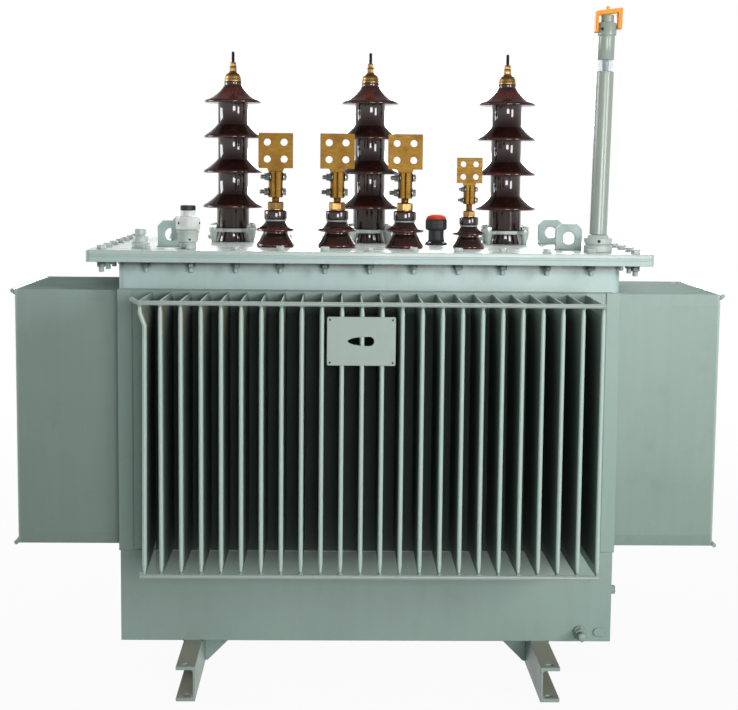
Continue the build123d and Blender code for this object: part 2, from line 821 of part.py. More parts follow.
# Drain valve on the front wall: boss, hexagon body, stub and hexagon cap
fitting_z = floor_z + fitting_height
with BuildPart() as drain_valve:
    drain_place = (side_face - drain_end_margin, fitting_z)
    with BuildSketch(Plane.XZ.offset(front_face)):
        with Locations(drain_place):
            Circle(drain_boss_radius)
    extrude(amount=drain_boss_length)
    with BuildSketch(Plane.XZ.offset(front_face + drain_boss_length)):
        with Locations(drain_place):
            RegularPolygon(drain_body_radius, hex_side_count)
    extrude(amount=drain_body_length)
    stub_y = front_face + drain_boss_length + drain_body_length
    with BuildSketch(Plane.XZ.offset(stub_y)):
        with Locations(drain_place):
            Circle(drain_stub_radius)
    extrude(amount=drain_stub_length)
    with BuildSketch(Plane.XZ.offset(stub_y + drain_stub_length)):
        with Locations(drain_place):
            RegularPolygon(drain_cap_radius, hex_side_count)
    extrude(amount=drain_cap_length)
keep(drain_valve, "drain_valve")

with BuildPart() as earth_pad:
    with BuildSketch(Plane.XZ.offset(front_face)):
        with Locations((side_face - earth_end_margin, fitting_z)):
            SlotOverall(earth_width, earth_height)
    extrude(amount=earth_thickness)
keep(earth_pad, "earth_pad")

with BuildPart() as side_plug:
    with BuildSketch(Plane.YZ.offset(side_face)):
        with Locations((plug_setback - front_face, floor_z + plug_height)):
            RegularPolygon(plug_radius, hex_side_count)
    extrude(amount=plug_length)
keep(side_plug, "side_plug")
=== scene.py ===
import json
import math

import bmesh
import bpy
from bpy.props import FloatProperty, FloatVectorProperty, IntProperty, PointerProperty
from mathutils import Matrix, Vector


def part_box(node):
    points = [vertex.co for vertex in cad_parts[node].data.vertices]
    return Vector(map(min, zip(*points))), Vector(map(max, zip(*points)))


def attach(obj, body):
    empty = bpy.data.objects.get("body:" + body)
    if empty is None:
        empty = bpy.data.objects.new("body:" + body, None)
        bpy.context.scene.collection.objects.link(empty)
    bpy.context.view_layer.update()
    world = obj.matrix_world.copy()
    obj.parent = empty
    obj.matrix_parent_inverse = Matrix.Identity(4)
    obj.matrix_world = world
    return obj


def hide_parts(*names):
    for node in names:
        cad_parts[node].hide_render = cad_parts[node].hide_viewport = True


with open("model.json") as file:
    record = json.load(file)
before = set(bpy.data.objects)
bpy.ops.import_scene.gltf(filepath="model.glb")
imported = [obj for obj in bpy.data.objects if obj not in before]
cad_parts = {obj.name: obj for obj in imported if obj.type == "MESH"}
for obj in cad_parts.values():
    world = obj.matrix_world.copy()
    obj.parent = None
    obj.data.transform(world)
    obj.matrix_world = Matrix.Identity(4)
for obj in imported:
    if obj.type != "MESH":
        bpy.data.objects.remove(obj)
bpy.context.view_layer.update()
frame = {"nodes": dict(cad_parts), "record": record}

bl_info = {
    "name": "Power Transformer Dressing",
    "version": (1, 0, 0),
    "blender": (4, 5, 0),
    "location": "3D View > Sidebar > Transformer",
    "description": "Gives a corrugated-tank power transformer its finishes, fittings, fasteners and studio",
    "category": "Object",
}

MM = 0.001


def linear(code):
    """Turns an sRGB hex colour into linear RGBA."""
    channels = [int(code[i:i + 2], 16) / 255 for i in (0, 2, 4)]
    return [c / 12.92 if c <= 0.04045 else ((c + 0.055) / 1.055) ** 2.4 for c in channels] + [1.0]


def colour(code, name, description):
    """One colour setting that a user can change."""
    return FloatVectorProperty(
        name=name, description=description, subtype="COLOR", size=4, min=0, max=1, default=linear(code)
    )


def length(millimetres, name, description):
    """One size setting that a user can change."""
    return FloatProperty(
        name=name, description=description, unit="LENGTH", precision=4, default=millimetres * MM
    )


def count(number, name, description):
    """One number of like pieces that a user can change."""
    return IntProperty(name=name, description=description, default=number)


def power(watts, name, description):
    """One lamp's power that a user can change."""
    return FloatProperty(name=name, description=description, unit="POWER", default=watts)


class TransformerColours(bpy.types.PropertyGroup):
    enamel: colour("8AA098", "Tank enamel", "Grey-green paint of the tank and fins")
    # Painted highlight: the lighter paint of the fin noses and upper edges stands in for the light they catch
    nose: colour("AAC0B8", "Fin noses", "Fresh paint of the fin noses, where nothing settles")
    # Painted highlight: a lighter copy of the tank enamel on the tie bars, for the light they catch
    bar: colour("98A69E", "Tie bars", "Rubbed paint of the bars along the fin noses")
    # Painted light: a paler copy of the tank enamel on the rim, lugs, gasket edge and cover nuts, for the
    # light that falls on them
    rim: colour("A9C0BC", "Rim enamel", "Fresher, bluer coat of the rim and lifting lugs")
    # Painted sheen: a paler copy of the tank enamel on the cover, for the sheen of its top
    cover: colour("B2C2BE", "Cover enamel", "Paler coat of the cover, chalked by the weather")
    # Real dirt in the stains, and painted shade as well: the streaks under the flange, the fins' shadow below
    # them and the darkening towards the feet of the end walls
    grime_and_shade: colour("4A554B", "Grime", "Dirt that settles in corners and between the fins")
    # Painted shade: the dark tone deep in the gaps between the fins and in the line right under the flange
    painted_shade: colour("131B16", "Deep grime", "Dirt deep between the fins, where no light or brush gets in")
    rust: colour("8A6E4E", "Rust bloom", "Brown bloom where the paint is thin at the fin tops")
    porcelain: colour("241310", "Porcelain glaze", "Dark brown glaze of the bushings")
    thin_glaze: colour("55190F", "Thin glaze", "Redder glaze where it ran thin along the shed rims")
    brass: colour("745726", "Brass", "Rolled brass of the flag terminals")
    tarnish: colour("60451F", "Brass tarnish", "Browner patches on the brass")
    zinc: colour("C3C8C4", "Zinc plating", "Plated nuts, washers and clamps")
    rubber: colour("93A39C", "Gaskets", "Nitrile gaskets under a mist of the tank's paint")
    valve: colour("E4E8E6", "Valve paint", "Off-white drum of the relief valve")
    black: colour("0A0D11", "Black plastic", "Tap changer grip and valve cap")
    red: colour("BE3410", "Red plastic", "Dome of the tap changer")
    orange: colour("FA9E08", "Orange plastic", "Locking strap of the gauge")
    gauge: colour("95A298", "Gauge tube", "Painted tube of the oil level gauge")
    plate: colour("93A59D", "Nameplate", "Painted aluminium nameplate")
    steel: colour("2B2B29", "Black steel", "Blackened studs and screws")
    floor: colour("A8A8A5", "Floor", "Plain pale studio floor")


class TransformerFasteners(bpy.types.PropertyGroup):
    pitch: length(101.6, "Bolt pitch", "Spacing of the cover bolts along the front and rear")
    shift: length(-3, "Bolt shift", "Shift of the bolt rows to the right")
    row: length(317, "Front row", "Distance of the front and rear bolt rows from the middle")
    side: length(612, "Side row", "Distance of the side bolt rows from the middle")
    front_count: count(13, "Front bolts", "Bolts along the front and rear")
    side_count: count(7, "Side bolts", "Bolts along each side, corners counted")
    flange: length(12, "Flange", "Thickness of the tank flange under the gasket")
    bolt: length(12, "Bolt", "Thread diameter of the cover bolts")
    tail: length(14, "Bolt tail", "Thread that stands out under the nut")
    weld: length(2.2, "Weld bead", "Radius of the weld beads along the seams")
    fin_pitch: length(43.6, "Fin pitch", "Spacing of the cooling fins")
    front_fins: count(24, "Front fins", "Fins on the front and rear walls")
    side_fins: count(11, "Side fins", "Fins on each end wall")
    bar: length(5, "Tie bar", "Radius of the bars along the fin noses")
    post: length(33, "Corner post", "Width of the corner posts' legs")


class TransformerStudio(bpy.types.PropertyGroup):
    lens: FloatProperty(
        name="Lens", description="Focal length on a 36 mm sensor", unit="CAMERA", default=78.18
    )
    front: power(100, "Front light", "Softbox behind the camera")
    right: power(66, "Right light", "Softbox in front on the right")
    left: power(60, "Left light", "Softbox on the left end")
    back: power(110, "Back light", "Broad softbox behind the tank")
    top: power(60, "Top light", "Overhead softbox")
    ambient: FloatProperty(
        name="Ambient", description="Strength of the white room", min=0, default=0.05
    )
    ceiling: FloatProperty(
        name="Ceiling", description="Strength of the ceiling in reflections", min=0, default=0.2
    )


def add_node(tree, kind, inputs=None, **settings):
    """Adds one shader node; an input is a value, an output, or a node that stands for its live output."""
    made = tree.nodes.new("ShaderNode" + kind)
    for name, value in settings.items():
        setattr(made, name, value)
    for name, value in (inputs or {}).items():
        if isinstance(value, bpy.types.Node):
            value = next(socket for socket in value.outputs if socket.enabled)
        if isinstance(value, bpy.types.NodeSocket):
            tree.links.new(value, made.inputs[name])
        else:
            made.inputs[name].default_value = value
    return made


def new_material(name):
    """An empty node material with its tree and its Object coordinates."""
    material = bpy.data.materials.new(name)
    material.use_nodes = True
    tree = material.node_tree
    tree.nodes.clear()
    return material, tree, add_node(tree, "TexCoord").outputs["Object"]


def fin_rust_and_painted_light(tree, painted, axes, up, stains, c, fins):
    """Painted highlights on noses and upper edges, rust blooms and painted shade on a finned wall; gives its
    colour and how shaded each spot is.

    fins holds the axis that the fins point along, their root, their nose, half the width between the outer
    fins, the strength of the rust under the tie bar, that of the painted shade towards the feet, and how
    much of the flanks stays lit at the open top, where the painted shade of the gaps lifts."""
    along, root, nose, half, bloom, low_shade, lit_at_top = fins
    across = "X" if along == "Y" else "Y"
    height = axes.outputs["Z"]
    bottom, top = (corner.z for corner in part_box("front_fin_wall"))
    out = add_node(tree, "Math", {0: axes.outputs[along]}, operation="ABSOLUTE")
    beside = add_node(tree, "Math", {0: axes.outputs[across]}, operation="ABSOLUTE")
    between = add_node(tree, "Math", {0: beside, 1: half}, operation="LESS_THAN")
    masks = {}
    for mask, value, start, stop, first, last in (
        ("nose", out, nose - 7 * MM, nose - 3 * MM, 0, 0.9),
        ("rusty", height, top - 120 * MM, top - 20 * MM, 0, bloom),
        ("outer", out, nose - 130 * MM, nose - 40 * MM, 0, 1),
        ("blotch", stains, 0.34, 0.5, 0.2, 1),
        ("weather", axes.outputs[across], 0, -350 * MM, 0.1, 1),
        ("under_bar", height, top - 26 * MM, top - 14 * MM, 1, 0),
        # Painted shade towards the feet, in the grime tone
        ("shaded_low", height, top, bottom, 0, low_shade),
        ("deep", out, nose - 2 * MM, root + 120 * MM, 0, 0.71),
        ("open_top", height, top - 55 * MM, top - 12 * MM, 0, 1),
        ("near_root", out, root + 6 * MM, root + 20 * MM, 1, lit_at_top),
    ):
        masks[mask] = add_node(tree, "MapRange", {
            "Value": value, "From Min": start, "From Max": stop, "To Min": first, "To Max": last,
        })

    # Painted highlight: the noses and the fins' upper edges get the lighter nose paint
    level = add_node(tree, "Math", {0: up.outputs["Z"], 1: 0.6}, operation="GREATER_THAN")
    painted_highlight = add_node(tree, "Math", {0: masks["nose"], 1: level}, operation="MAXIMUM")
    # Rust blooms where the paint is thin, on the flanks under the tie bar and most at the left
    flank = add_node(tree, "Math", {0: 1.0, 1: painted_highlight}, operation="SUBTRACT")
    rusty = masks["rusty"]
    for share in (masks["outer"], masks["blotch"], masks["weather"], masks["under_bar"], flank, between):
        rusty = add_node(tree, "Math", {0: rusty, 1: share}, operation="MULTIPLY")
    # Painted shade darkens the gaps, less so at the open top, where light gets in
    lit = add_node(tree, "Math", {0: masks["open_top"], 1: masks["near_root"]}, operation="MULTIPLY")
    lit = add_node(tree, "Math", {0: lit, 1: level}, operation="MAXIMUM")
    shade = add_node(tree, "Math", {0: 1.0, 1: lit}, operation="SUBTRACT")
    shade_share = add_node(tree, "Math", {0: masks["deep"], 1: 0.6}, operation="POWER")
    for share in (shade, between):
        shade_share = add_node(tree, "Math", {0: shade_share, 1: share}, operation="MULTIPLY")
    # Mixes in the painted highlight, the painted shade towards the feet, the painted shade of the gaps and
    # the rust
    for share, tone in ((painted_highlight, c.nose), (masks["shaded_low"], c.grime_and_shade), (shade_share, c.painted_shade), (rusty, c.rust)):
        painted = add_node(tree, "Mix", {0: share, 6: painted, 7: tone}, data_type="RGBA")
    return painted, shade_share


def sprayed_enamel(
    name, base, c, gloss=0.36, dust=0.3, dust_tone="C4C7C0", fins=None, eave=None, fin_shadow=None
):
    """Sprayed alkyd enamel: semi-gloss, patchy in tone, with faint runs, dust and painted-over edges.

    fins names a finned wall's measures for the function above, eave the height of a ledge under which dirt
    streaks and painted shade run down, with a painted shadow line right under it, and the last argument the
    half widths of the finned walls above a face and their lower edge, under which the fins' shadow is
    painted."""
    material, tree, place = new_material(name)
    patch, run, stain, peel = 160 * MM, 20 * MM, 70 * MM, 6 * MM
    patches = add_node(tree, "TexNoise", {"Vector": place, "Scale": 1 / patch, "Detail": 4, "Roughness": 0.6})
    drawn = add_node(tree, "Mapping", {"Vector": place, "Scale": (1, 1, 0.06)})
    runs = add_node(tree, "TexNoise", {"Vector": drawn, "Scale": 1 / run, "Detail": 3})
    stains = add_node(tree, "TexNoise", {"Vector": place, "Scale": 1 / stain, "Detail": 5, "Roughness": 0.65})
    mottle = add_node(tree, "Math", {0: patches, 1: runs}, operation="ADD")
    axes = add_node(tree, "SeparateXYZ", {0: place})
    height = axes.outputs["Z"]
    up = add_node(tree, "SeparateXYZ", {0: add_node(tree, "NewGeometry").outputs["Normal"]})
    rows = [
        ("mottled", mottle, 0.6, 1.4, 0.95, 1.04),
        ("stained", stains, 0.56, 0.8, 0, 0.14),
        ("rough", patches, 0.3, 0.7, gloss - 0.05, gloss + 0.09),
        ("settled", up.outputs["Z"], 0.7, 1, 0, dust),
    ]
    if eave:
        rows += [
            ("near", height, eave - 26 * MM, eave - 5 * MM, 0, 0.95),
            ("streak", stains, 0.36, 0.56, 0.45, 1),
            ("corner", height, eave - 14 * MM, eave - 6 * MM, 0, 0.75),
        ]
    if fin_shadow:
        front_half, side_half, fin_edge = fin_shadow
        rows.append(("painted_fin_shadow", height, fin_edge - 62 * MM, fin_edge, 0, 0.8))
    masks = {}
    for mask, value, start, stop, first, last in rows:
        masks[mask] = add_node(tree, "MapRange", {
            "Value": value, "From Min": start, "From Max": stop, "To Min": first, "To Max": last,
        })

    coats = [(masks["stained"], c.grime_and_shade)]
    # Under the flange: dirt streaks that are partly painted shade, and a painted shadow line right under the
    # ledge in the painted shade tone
    if eave:
        below = add_node(tree, "Math", {0: height, 1: eave - 0.5 * MM}, operation="LESS_THAN")
        dirt = add_node(tree, "Math", {0: masks["near"], 1: below}, operation="MULTIPLY")
        dirt = add_node(tree, "Math", {0: dirt, 1: masks["streak"]}, operation="MULTIPLY")
        corner = add_node(tree, "Math", {0: masks["corner"], 1: below}, operation="MULTIPLY")
        coats += [(dirt, c.grime_and_shade), (corner, c.painted_shade)]
    # Painted shadow of the fins on the faces just below them, within their width
    if fin_shadow:
        covered = []
        for axis, half in (("X", front_half), ("Y", side_half)):
            beside = add_node(tree, "Math", {0: axes.outputs[axis]}, operation="ABSOLUTE")
            covered.append(add_node(tree, "Math", {0: beside, 1: half}, operation="LESS_THAN"))
        under = add_node(tree, "Math", {0: covered[0], 1: covered[1]}, operation="MAXIMUM")
        fin_shadow_share = add_node(tree, "Math", {0: masks["painted_fin_shadow"], 1: under}, operation="MULTIPLY")
        coats.append((fin_shadow_share, c.grime_and_shade))
    painted = add_node(tree, "HueSaturation", {"Value": masks["mottled"], "Color": base})
    for share, tone in coats:
        painted = add_node(tree, "Mix", {0: share, 6: painted, 7: tone}, data_type="RGBA")
    rough = masks["rough"]
    if fins:
        painted, shade_share = fin_rust_and_painted_light(tree, painted, axes, up, stains, c, fins)
        rough = add_node(tree, "Math", {0: shade_share, 1: 0.5, 2: rough}, operation="MULTIPLY_ADD")
    painted = add_node(tree, "Mix", {0: masks["settled"], 6: painted, 7: linear(dust_tone)}, data_type="RGBA")
    edges = add_node(tree, "Bevel", {"Radius": 2.2 * MM}, samples=4)
    # Orange peel: shallow waves of about 6 mm in the sprayed coat
    grain = add_node(tree, "TexNoise", {"Vector": place, "Scale": 1 / peel, "Detail": 2})
    relief = add_node(tree, "Bump", {
        "Height": grain, "Strength": 0.12, "Distance": 0.6 * MM, "Normal": edges,
    })
    shader = add_node(tree, "BsdfPrincipled", {
        "Base Color": painted, "Roughness": rough, "Normal": relief, "IOR": 1.5,
    })
    add_node(tree, "OutputMaterial", {0: shader})
    return material


def worn_finish(name, base, mark, rough, metallic=0.0, patch=40, grain=4, bump=0.4, stretch=(1, 1, 1)):
    """A finish whose colour drifts to a second tone in soft patches, with a fine grain in gloss and relief.

    The patches, the grain and the depth of the relief are in millimetres."""
    material, tree, place = new_material(name)
    patches = add_node(tree, "TexNoise", {"Vector": place, "Scale": 1 / (patch * MM), "Detail": 4})
    amount = add_node(tree, "MapRange", {
        "Value": patches, "From Min": 0.42, "From Max": 0.72, "To Min": 0, "To Max": 0.8,
    })
    tone = add_node(tree, "Mix", {0: amount, 6: base, 7: mark}, data_type="RGBA")
    drawn = add_node(tree, "Mapping", {"Vector": place, "Scale": stretch})
    fine = add_node(tree, "TexNoise", {"Vector": drawn, "Scale": 1 / (grain * MM), "Detail": 3})
    gloss = add_node(tree, "MapRange", {
        "Value": fine, "From Min": 0.3, "From Max": 0.7, "To Min": rough - 0.07, "To Max": rough + 0.08,
    })
    relief = add_node(tree, "Bump", {"Height": fine, "Strength": 0.2, "Distance": bump * MM})
    shader = add_node(tree, "BsdfPrincipled", {
        "Base Color": tone, "Roughness": gloss, "Normal": relief, "Metallic": metallic,
    })
    add_node(tree, "OutputMaterial", {0: shader})
    return material


def brown_glaze(name, c):
    """Fired brown glaze on porcelain: near black and wet-looking, redder where it ran thin on the rims."""
    material, tree, place = new_material(name)
    cloud, pool = 25 * MM, 14 * MM
    thin = add_node(tree, "Attribute", attribute_name="thin_glaze").outputs["Fac"]
    clouds = add_node(tree, "TexNoise", {"Vector": place, "Scale": 1 / cloud, "Detail": 3})
    drift = add_node(tree, "MapRange", {
        "Value": clouds, "From Min": 0.35, "From Max": 0.7, "To Min": 0, "To Max": 0.9,
    })
    amount = add_node(tree, "Math", {0: thin, 1: drift, 2: 0.04}, operation="MULTIPLY_ADD")
    tone = add_node(tree, "Mix", {0: amount, 6: c.porcelain, 7: c.thin_glaze}, data_type="RGBA")
    # The glaze pools in ripples of about 14 mm
    ripple = add_node(tree, "TexNoise", {"Vector": place, "Scale": 1 / pool, "Detail": 0})
    pooled = add_node(tree, "Bump", {"Height": ripple, "Strength": 0.12, "Distance": 0.5 * MM})
    shader = add_node(tree, "BsdfPrincipled", {
        "Base Color": tone, "Roughness": 0.1, "Normal": pooled, "IOR": 1.55,
        "Coat Weight": 0.2, "Coat Roughness": 0.04,
    })
    add_node(tree, "OutputMaterial", {0: shader})
    return material


def sight_glass(name):
    """Drawn borosilicate tube: clear, faintly blue, with slight lengthwise streaks in its gloss."""
    material, tree, place = new_material(name)
    streak = 4 * MM
    drawn = add_node(tree, "Mapping", {"Vector": place, "Scale": (1, 1, 0.05)})
    streaks = add_node(tree, "TexNoise", {"Vector": drawn, "Scale": 1 / streak, "Detail": 2})
    gloss = add_node(tree, "MapRange", {"Value": streaks, "To Min": 0, "To Max": 0.08})
    shader = add_node(tree, "BsdfPrincipled", {
        "Base Color": linear("A9BEDC"), "Roughness": gloss, "IOR": 1.47, "Alpha": 0.1,
    })
    add_node(tree, "OutputMaterial", {0: shader})
    return material


def make_finishes(c, sizes):
    """All finishes, by the record's slot names and a few more of the scene's own."""
    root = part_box("lower_tank")[1]
    half_fin = 4.6 * MM
    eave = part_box("cover_gasket")[0].z - sizes.flange
    front_half = sizes.fin_pitch * (sizes.front_fins - 1) / 2 - half_fin
    side_half = sizes.fin_pitch * (sizes.side_fins - 1) / 2 - half_fin
    fin_shadow = (front_half, side_half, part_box("front_fin_wall")[0].z)
    # The last three of each are the rust under the tie bar, the painted shade towards the feet and how much
    # of the flanks stays lit at the open top
    front_gaps = ("Y", root.y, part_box("rear_fin_wall")[1].y, front_half, 0.85, 0, 0.9)
    side_gaps = ("X", root.x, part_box("right_fin_wall")[1].x, side_half, 0, 0.25, 1)
    return {
        # Enamel over steel: one paint, with dust and dirt, painted shade in the gaps, below the fins and
        # under the flange, and paler copies as painted light on the rim, tie bars and cover
        "tank_paint": sprayed_enamel("sprayed_enamel_on_steel", c.enamel, c),
        "foot_paint": sprayed_enamel("sprayed_enamel_on_lower_tank", c.enamel, c, fin_shadow=fin_shadow),
        "skid_paint": sprayed_enamel("dusty_enamel_on_skids", c.enamel, c, dust=0.85, dust_tone="9A917E"),
        "rim_paint": sprayed_enamel("sprayed_enamel_on_rim", c.rim, c, eave=eave),
        "bar_paint": sprayed_enamel("sprayed_enamel_on_tie_bars", c.bar, c, gloss=0.3),
        "cover_paint": sprayed_enamel("sprayed_enamel_on_cover", c.cover, c, gloss=0.26, dust=0.6),
        "front_fins": sprayed_enamel("sprayed_enamel_front_fins", c.enamel, c, fins=front_gaps),
        "side_fins": sprayed_enamel("sprayed_enamel_side_fins", c.enamel, c, fins=side_gaps),
        "painted_zinc": sprayed_enamel("enamel_over_zinc_plate", linear("B2BDB8"), c, gloss=0.4),
        "gauge_plastic": sprayed_enamel("sprayed_enamel_on_gauge", c.gauge, c, gloss=0.22, dust=0.1),
        "nameplate_metal": sprayed_enamel("painted_aluminium_plate", c.plate, c, gloss=0.42, dust=0.1),
        # Ceramic and glass: wet-looking and clear
        "porcelain": brown_glaze("brown_glazed_porcelain", c),
        "gauge_glass": sight_glass("drawn_sight_glass"),
        # Brass: brown and brushed lengthwise on the rolled flags, paler with fine rings on the turned caps
        "brass": worn_finish("rolled_brass_plate", c.brass, c.tarnish, 0.5, 1, 30, 2, 0.04, (0.1, 1, 1)),
        "cast_brass": worn_finish(
            "turned_brass", linear("AA8856"), c.tarnish, 0.38, 1, 20, 1.5, 0.02, (1, 1, 3)
        ),
        # Plated and blackened steel: bright, dull or near black, with grey blotches
        "zinc_steel": worn_finish("zinc_plated_steel", c.zinc, linear("8F9591"), 0.36, 1, 20, 3),
        "dull_steel": worn_finish("dull_plated_steel", linear("8C8F8A"), linear("5A5B55"), 0.42, 1, 12, 2),
        "black_steel": worn_finish("blackened_steel", c.steel, linear("141413"), 0.45, 0.5, 10, 2),
        # Powder coat, rubber and moulded plastics: soft sheen and a fine grain
        "valve_paint": worn_finish("off_white_powder_coat", c.valve, linear("BCC2BE"), 0.4),
        "gasket_rubber": worn_finish("nitrile_rubber_with_overspray", c.rubber, linear("82918A"), 0.55),
        "black_plastic": worn_finish("moulded_black_nylon", c.black, linear("181D21"), 0.55, grain=2),
        "red_plastic": worn_finish("moulded_red_abs", c.red, linear("9C2A14"), 0.5, grain=3),
        "orange_plastic": worn_finish("moulded_orange_abs", c.orange, linear("F08A04"), 0.5, grain=3),
    }


class TRANSFORMER_OT_finish_frame(bpy.types.Operator):
    """Gives every CAD node the finish that its record slot names, with rust, painted shade and painted
    highlights on the finned walls
    """
    bl_idname = "transformer.finish_frame"
    bl_label = "Finish Frame"

    def execute(self, context):
        finishes.update(make_finishes(context.scene.transformer_colours, context.scene.transformer_fasteners))
        special = {
            "front_fin_wall": "front_fins", "rear_fin_wall": "front_fins", "left_fin_wall": "side_fins",
            "right_fin_wall": "side_fins", "top_rim": "rim_paint", "cover": "cover_paint",
            "fin_tie_bars": "bar_paint", "lower_tank": "foot_paint",
        }
        for part in frame["record"]["subparts"]:
            obj = frame["nodes"][part["node"]]
            obj.data.materials.clear()
            obj.data.materials.append(finishes[special.get(part["node"], part["material_slot"])])
        return {"FINISHED"}


def pick(*objects):
    """Selects only these objects and makes the first one active."""
    bpy.ops.object.select_all(action="DESELECT")
    for obj in objects:
        obj.select_set(True)
    bpy.context.view_layer.objects.active = objects[0]
    return objects[0]


def join(objects):
    """Joins objects into the first one."""
    pick(*objects)
    if len(objects) > 1:
        bpy.ops.object.join()
    return objects[0]


def duplicate(piece):
    """A copy of a piece with a mesh of its own."""
    pick(piece)
    bpy.ops.object.duplicate()
    return bpy.context.object


def open_mesh(piece, action="SELECT"):
    """Opens a piece's mesh for editing, with all of it selected or none."""
    pick(piece)
    bpy.ops.object.mode_set(mode="EDIT")
    bpy.ops.mesh.select_all(action=action)


def lathe(profile, sides=48):
    """Draws a disc up through (radius, height) steps in millimetres, as extrude and scale by hand."""
    bpy.ops.object.select_all(action="DESELECT")
    radius, height = profile[0]
    bpy.ops.mesh.primitive_circle_add(
        vertices=sides, radius=radius * MM, fill_type="NGON", location=(0, 0, height * MM)
    )
    piece = bpy.context.object
    bpy.ops.object.transform_apply(location=True)
    open_mesh(piece)
    for next_radius, next_height in profile[1:]:
        bpy.ops.mesh.extrude_region_move(
            TRANSFORM_OT_translate={"value": (0, 0, (next_height - height) * MM)}
        )
        grow = next_radius / radius
        bpy.ops.transform.resize(value=(grow, grow, 1), center_override=(0, 0, next_height * MM))
        radius, height = next_radius, next_height
    bpy.ops.mesh.select_all(action="SELECT")
    bpy.ops.mesh.normals_make_consistent(inside=False)
    bpy.ops.object.mode_set(mode="OBJECT")
    return piece


def stand(piece, place, turn=(0, 0, 0)):
    """Turns a piece about the origin, then moves it to its place, with both kept in its mesh."""
    pick(piece)
    piece.rotation_euler = turn
    piece.location = place
    bpy.ops.object.transform_apply(location=True, rotation=True, scale=True)
    return piece


def copies(piece, places):
    """Copies a piece to (place, turn) pairs and joins the copies; the first pair moves the piece itself."""
    made = [(duplicate(piece), place, turn) for place, turn in places[1:]]
    made.append((piece, *places[0]))
    for copy, place, turn in made:
        stand(copy, place, turn)
    return join([copy for copy, place, turn in reversed(made)])


def rounded_copy(node, width):
    """A copy of a CAD node's solid with its sharp edges eased."""
    piece = duplicate(frame["nodes"][node])
    piece.parent = None
    for tag in [key for key in piece.keys() if key.startswith("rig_")]:
        del piece[tag]
    open_mesh(piece)
    bpy.ops.mesh.remove_doubles(threshold=0.02 * MM)
    bpy.ops.mesh.dissolve_limited(angle_limit=math.radians(0.5))
    bpy.ops.object.mode_set(mode="OBJECT")
    ease = piece.modifiers.new("ease", "BEVEL")
    ease.width = width * MM
    ease.segments = 2
    ease.limit_method = "ANGLE"
    ease.angle_limit = math.radians(50)
    bpy.ops.object.modifier_apply(modifier=ease.name)
    return piece


def fatten(piece, amount, even=False):
    """Moves all of a piece's faces outwards."""
    open_mesh(piece)
    bpy.ops.transform.shrink_fatten(value=amount, use_even_offset=even)
    bpy.ops.object.mode_set(mode="OBJECT")


def keep(piece, name, slot, finish=None, replaces=(), angle=35):
    """Names a finished piece, gives it its finish and sets it on the transformer."""
    pick(piece)
    bpy.ops.object.transform_apply(location=True, rotation=True, scale=True)
    bpy.ops.object.shade_smooth_by_angle(angle=math.radians(angle))
    piece.name = name
    piece.data.name = name
    piece.data.materials.clear()
    piece.data.materials.append(finishes[finish or slot])
    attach(piece, "root")
    if replaces:
        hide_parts(*replaces)
    return piece


def seat(node):
    """Where a node stands: the middle of its footprint at its lowest level."""
    low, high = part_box(node)
    return Vector(((low.x + high.x) / 2, (low.y + high.y) / 2, low.z))


def around(middle, reach, angle, level=0.0):
    """The spot at a reach and a level from a middle, in millimetres, and at an angle."""
    return middle + Vector((math.cos(angle) * reach, math.sin(angle) * reach, level)) * MM


def on_side(middle, reach, angle, level=0.0):
    """A screw's place and turn on the side of a round body."""
    return around(middle, reach, angle, level), (0, math.pi / 2, angle)


def on_corners(middle, reach):
    """Places and turns at the four corners of a square round a middle."""
    angles = [math.pi / 4 + corner * math.pi / 2 for corner in range(4)]
    return [(around(middle, reach, angle), (0, 0, angle)) for angle in angles]


def in_row(number, pitch):
    """Positions of a row of like pieces, centred on zero."""
    return [(i - (number - 1) / 2) * pitch for i in range(number)]


def swept(start, pull, end, number):
    """Points of a smooth sweep from start to end that leans towards pull, without its first point."""
    points = []
    for i in range(1, number + 1):
        t = i / number
        points.append(tuple(
            (1 - t) ** 2 * a + 2 * t * (1 - t) * b + t * t * c for a, b, c in zip(start, pull, end)
        ))
    return points


def threads(radius, low, high, pitch):
    """Profile steps of a screw thread, drawn as rings."""
    steps = []
    for i in range(int((high - low) / pitch)):
        steps += [(radius * 0.88, low + i * pitch), (radius, low + (i + 0.5) * pitch)]
    return steps + [(radius * 0.8, high)]


def hexagon(across, height, low=0.0):
    """A nut or bolt head with eased corners, across flats in millimetres."""
    corner = across / math.sqrt(3)
    return lathe([
        (corner * 0.9, low), (corner, low + height * 0.12), (corner, low + height * 0.84),
        (corner * 0.87, low + height),
    ], sides=6)


def mark_thin_glaze(porcelain, start, fade, wide=1.0, crown=math.inf, neck=0.0):
    """Tells the glaze where it ran thin: over the shed rims, and on a top shed above its crown's height."""
    thin = porcelain.data.attributes.new("thin_glaze", "FLOAT", "POINT")
    for i, vertex in enumerate(porcelain.data.vertices):
        reach = math.hypot(vertex.co.x, vertex.co.y) / MM / wide
        run = min(max((reach - start) / fade, 0), 1)
        on_crown = vertex.co.z / MM > crown and reach > neck
        thin.data[i].value = max(run, 0.8) if on_crown else run


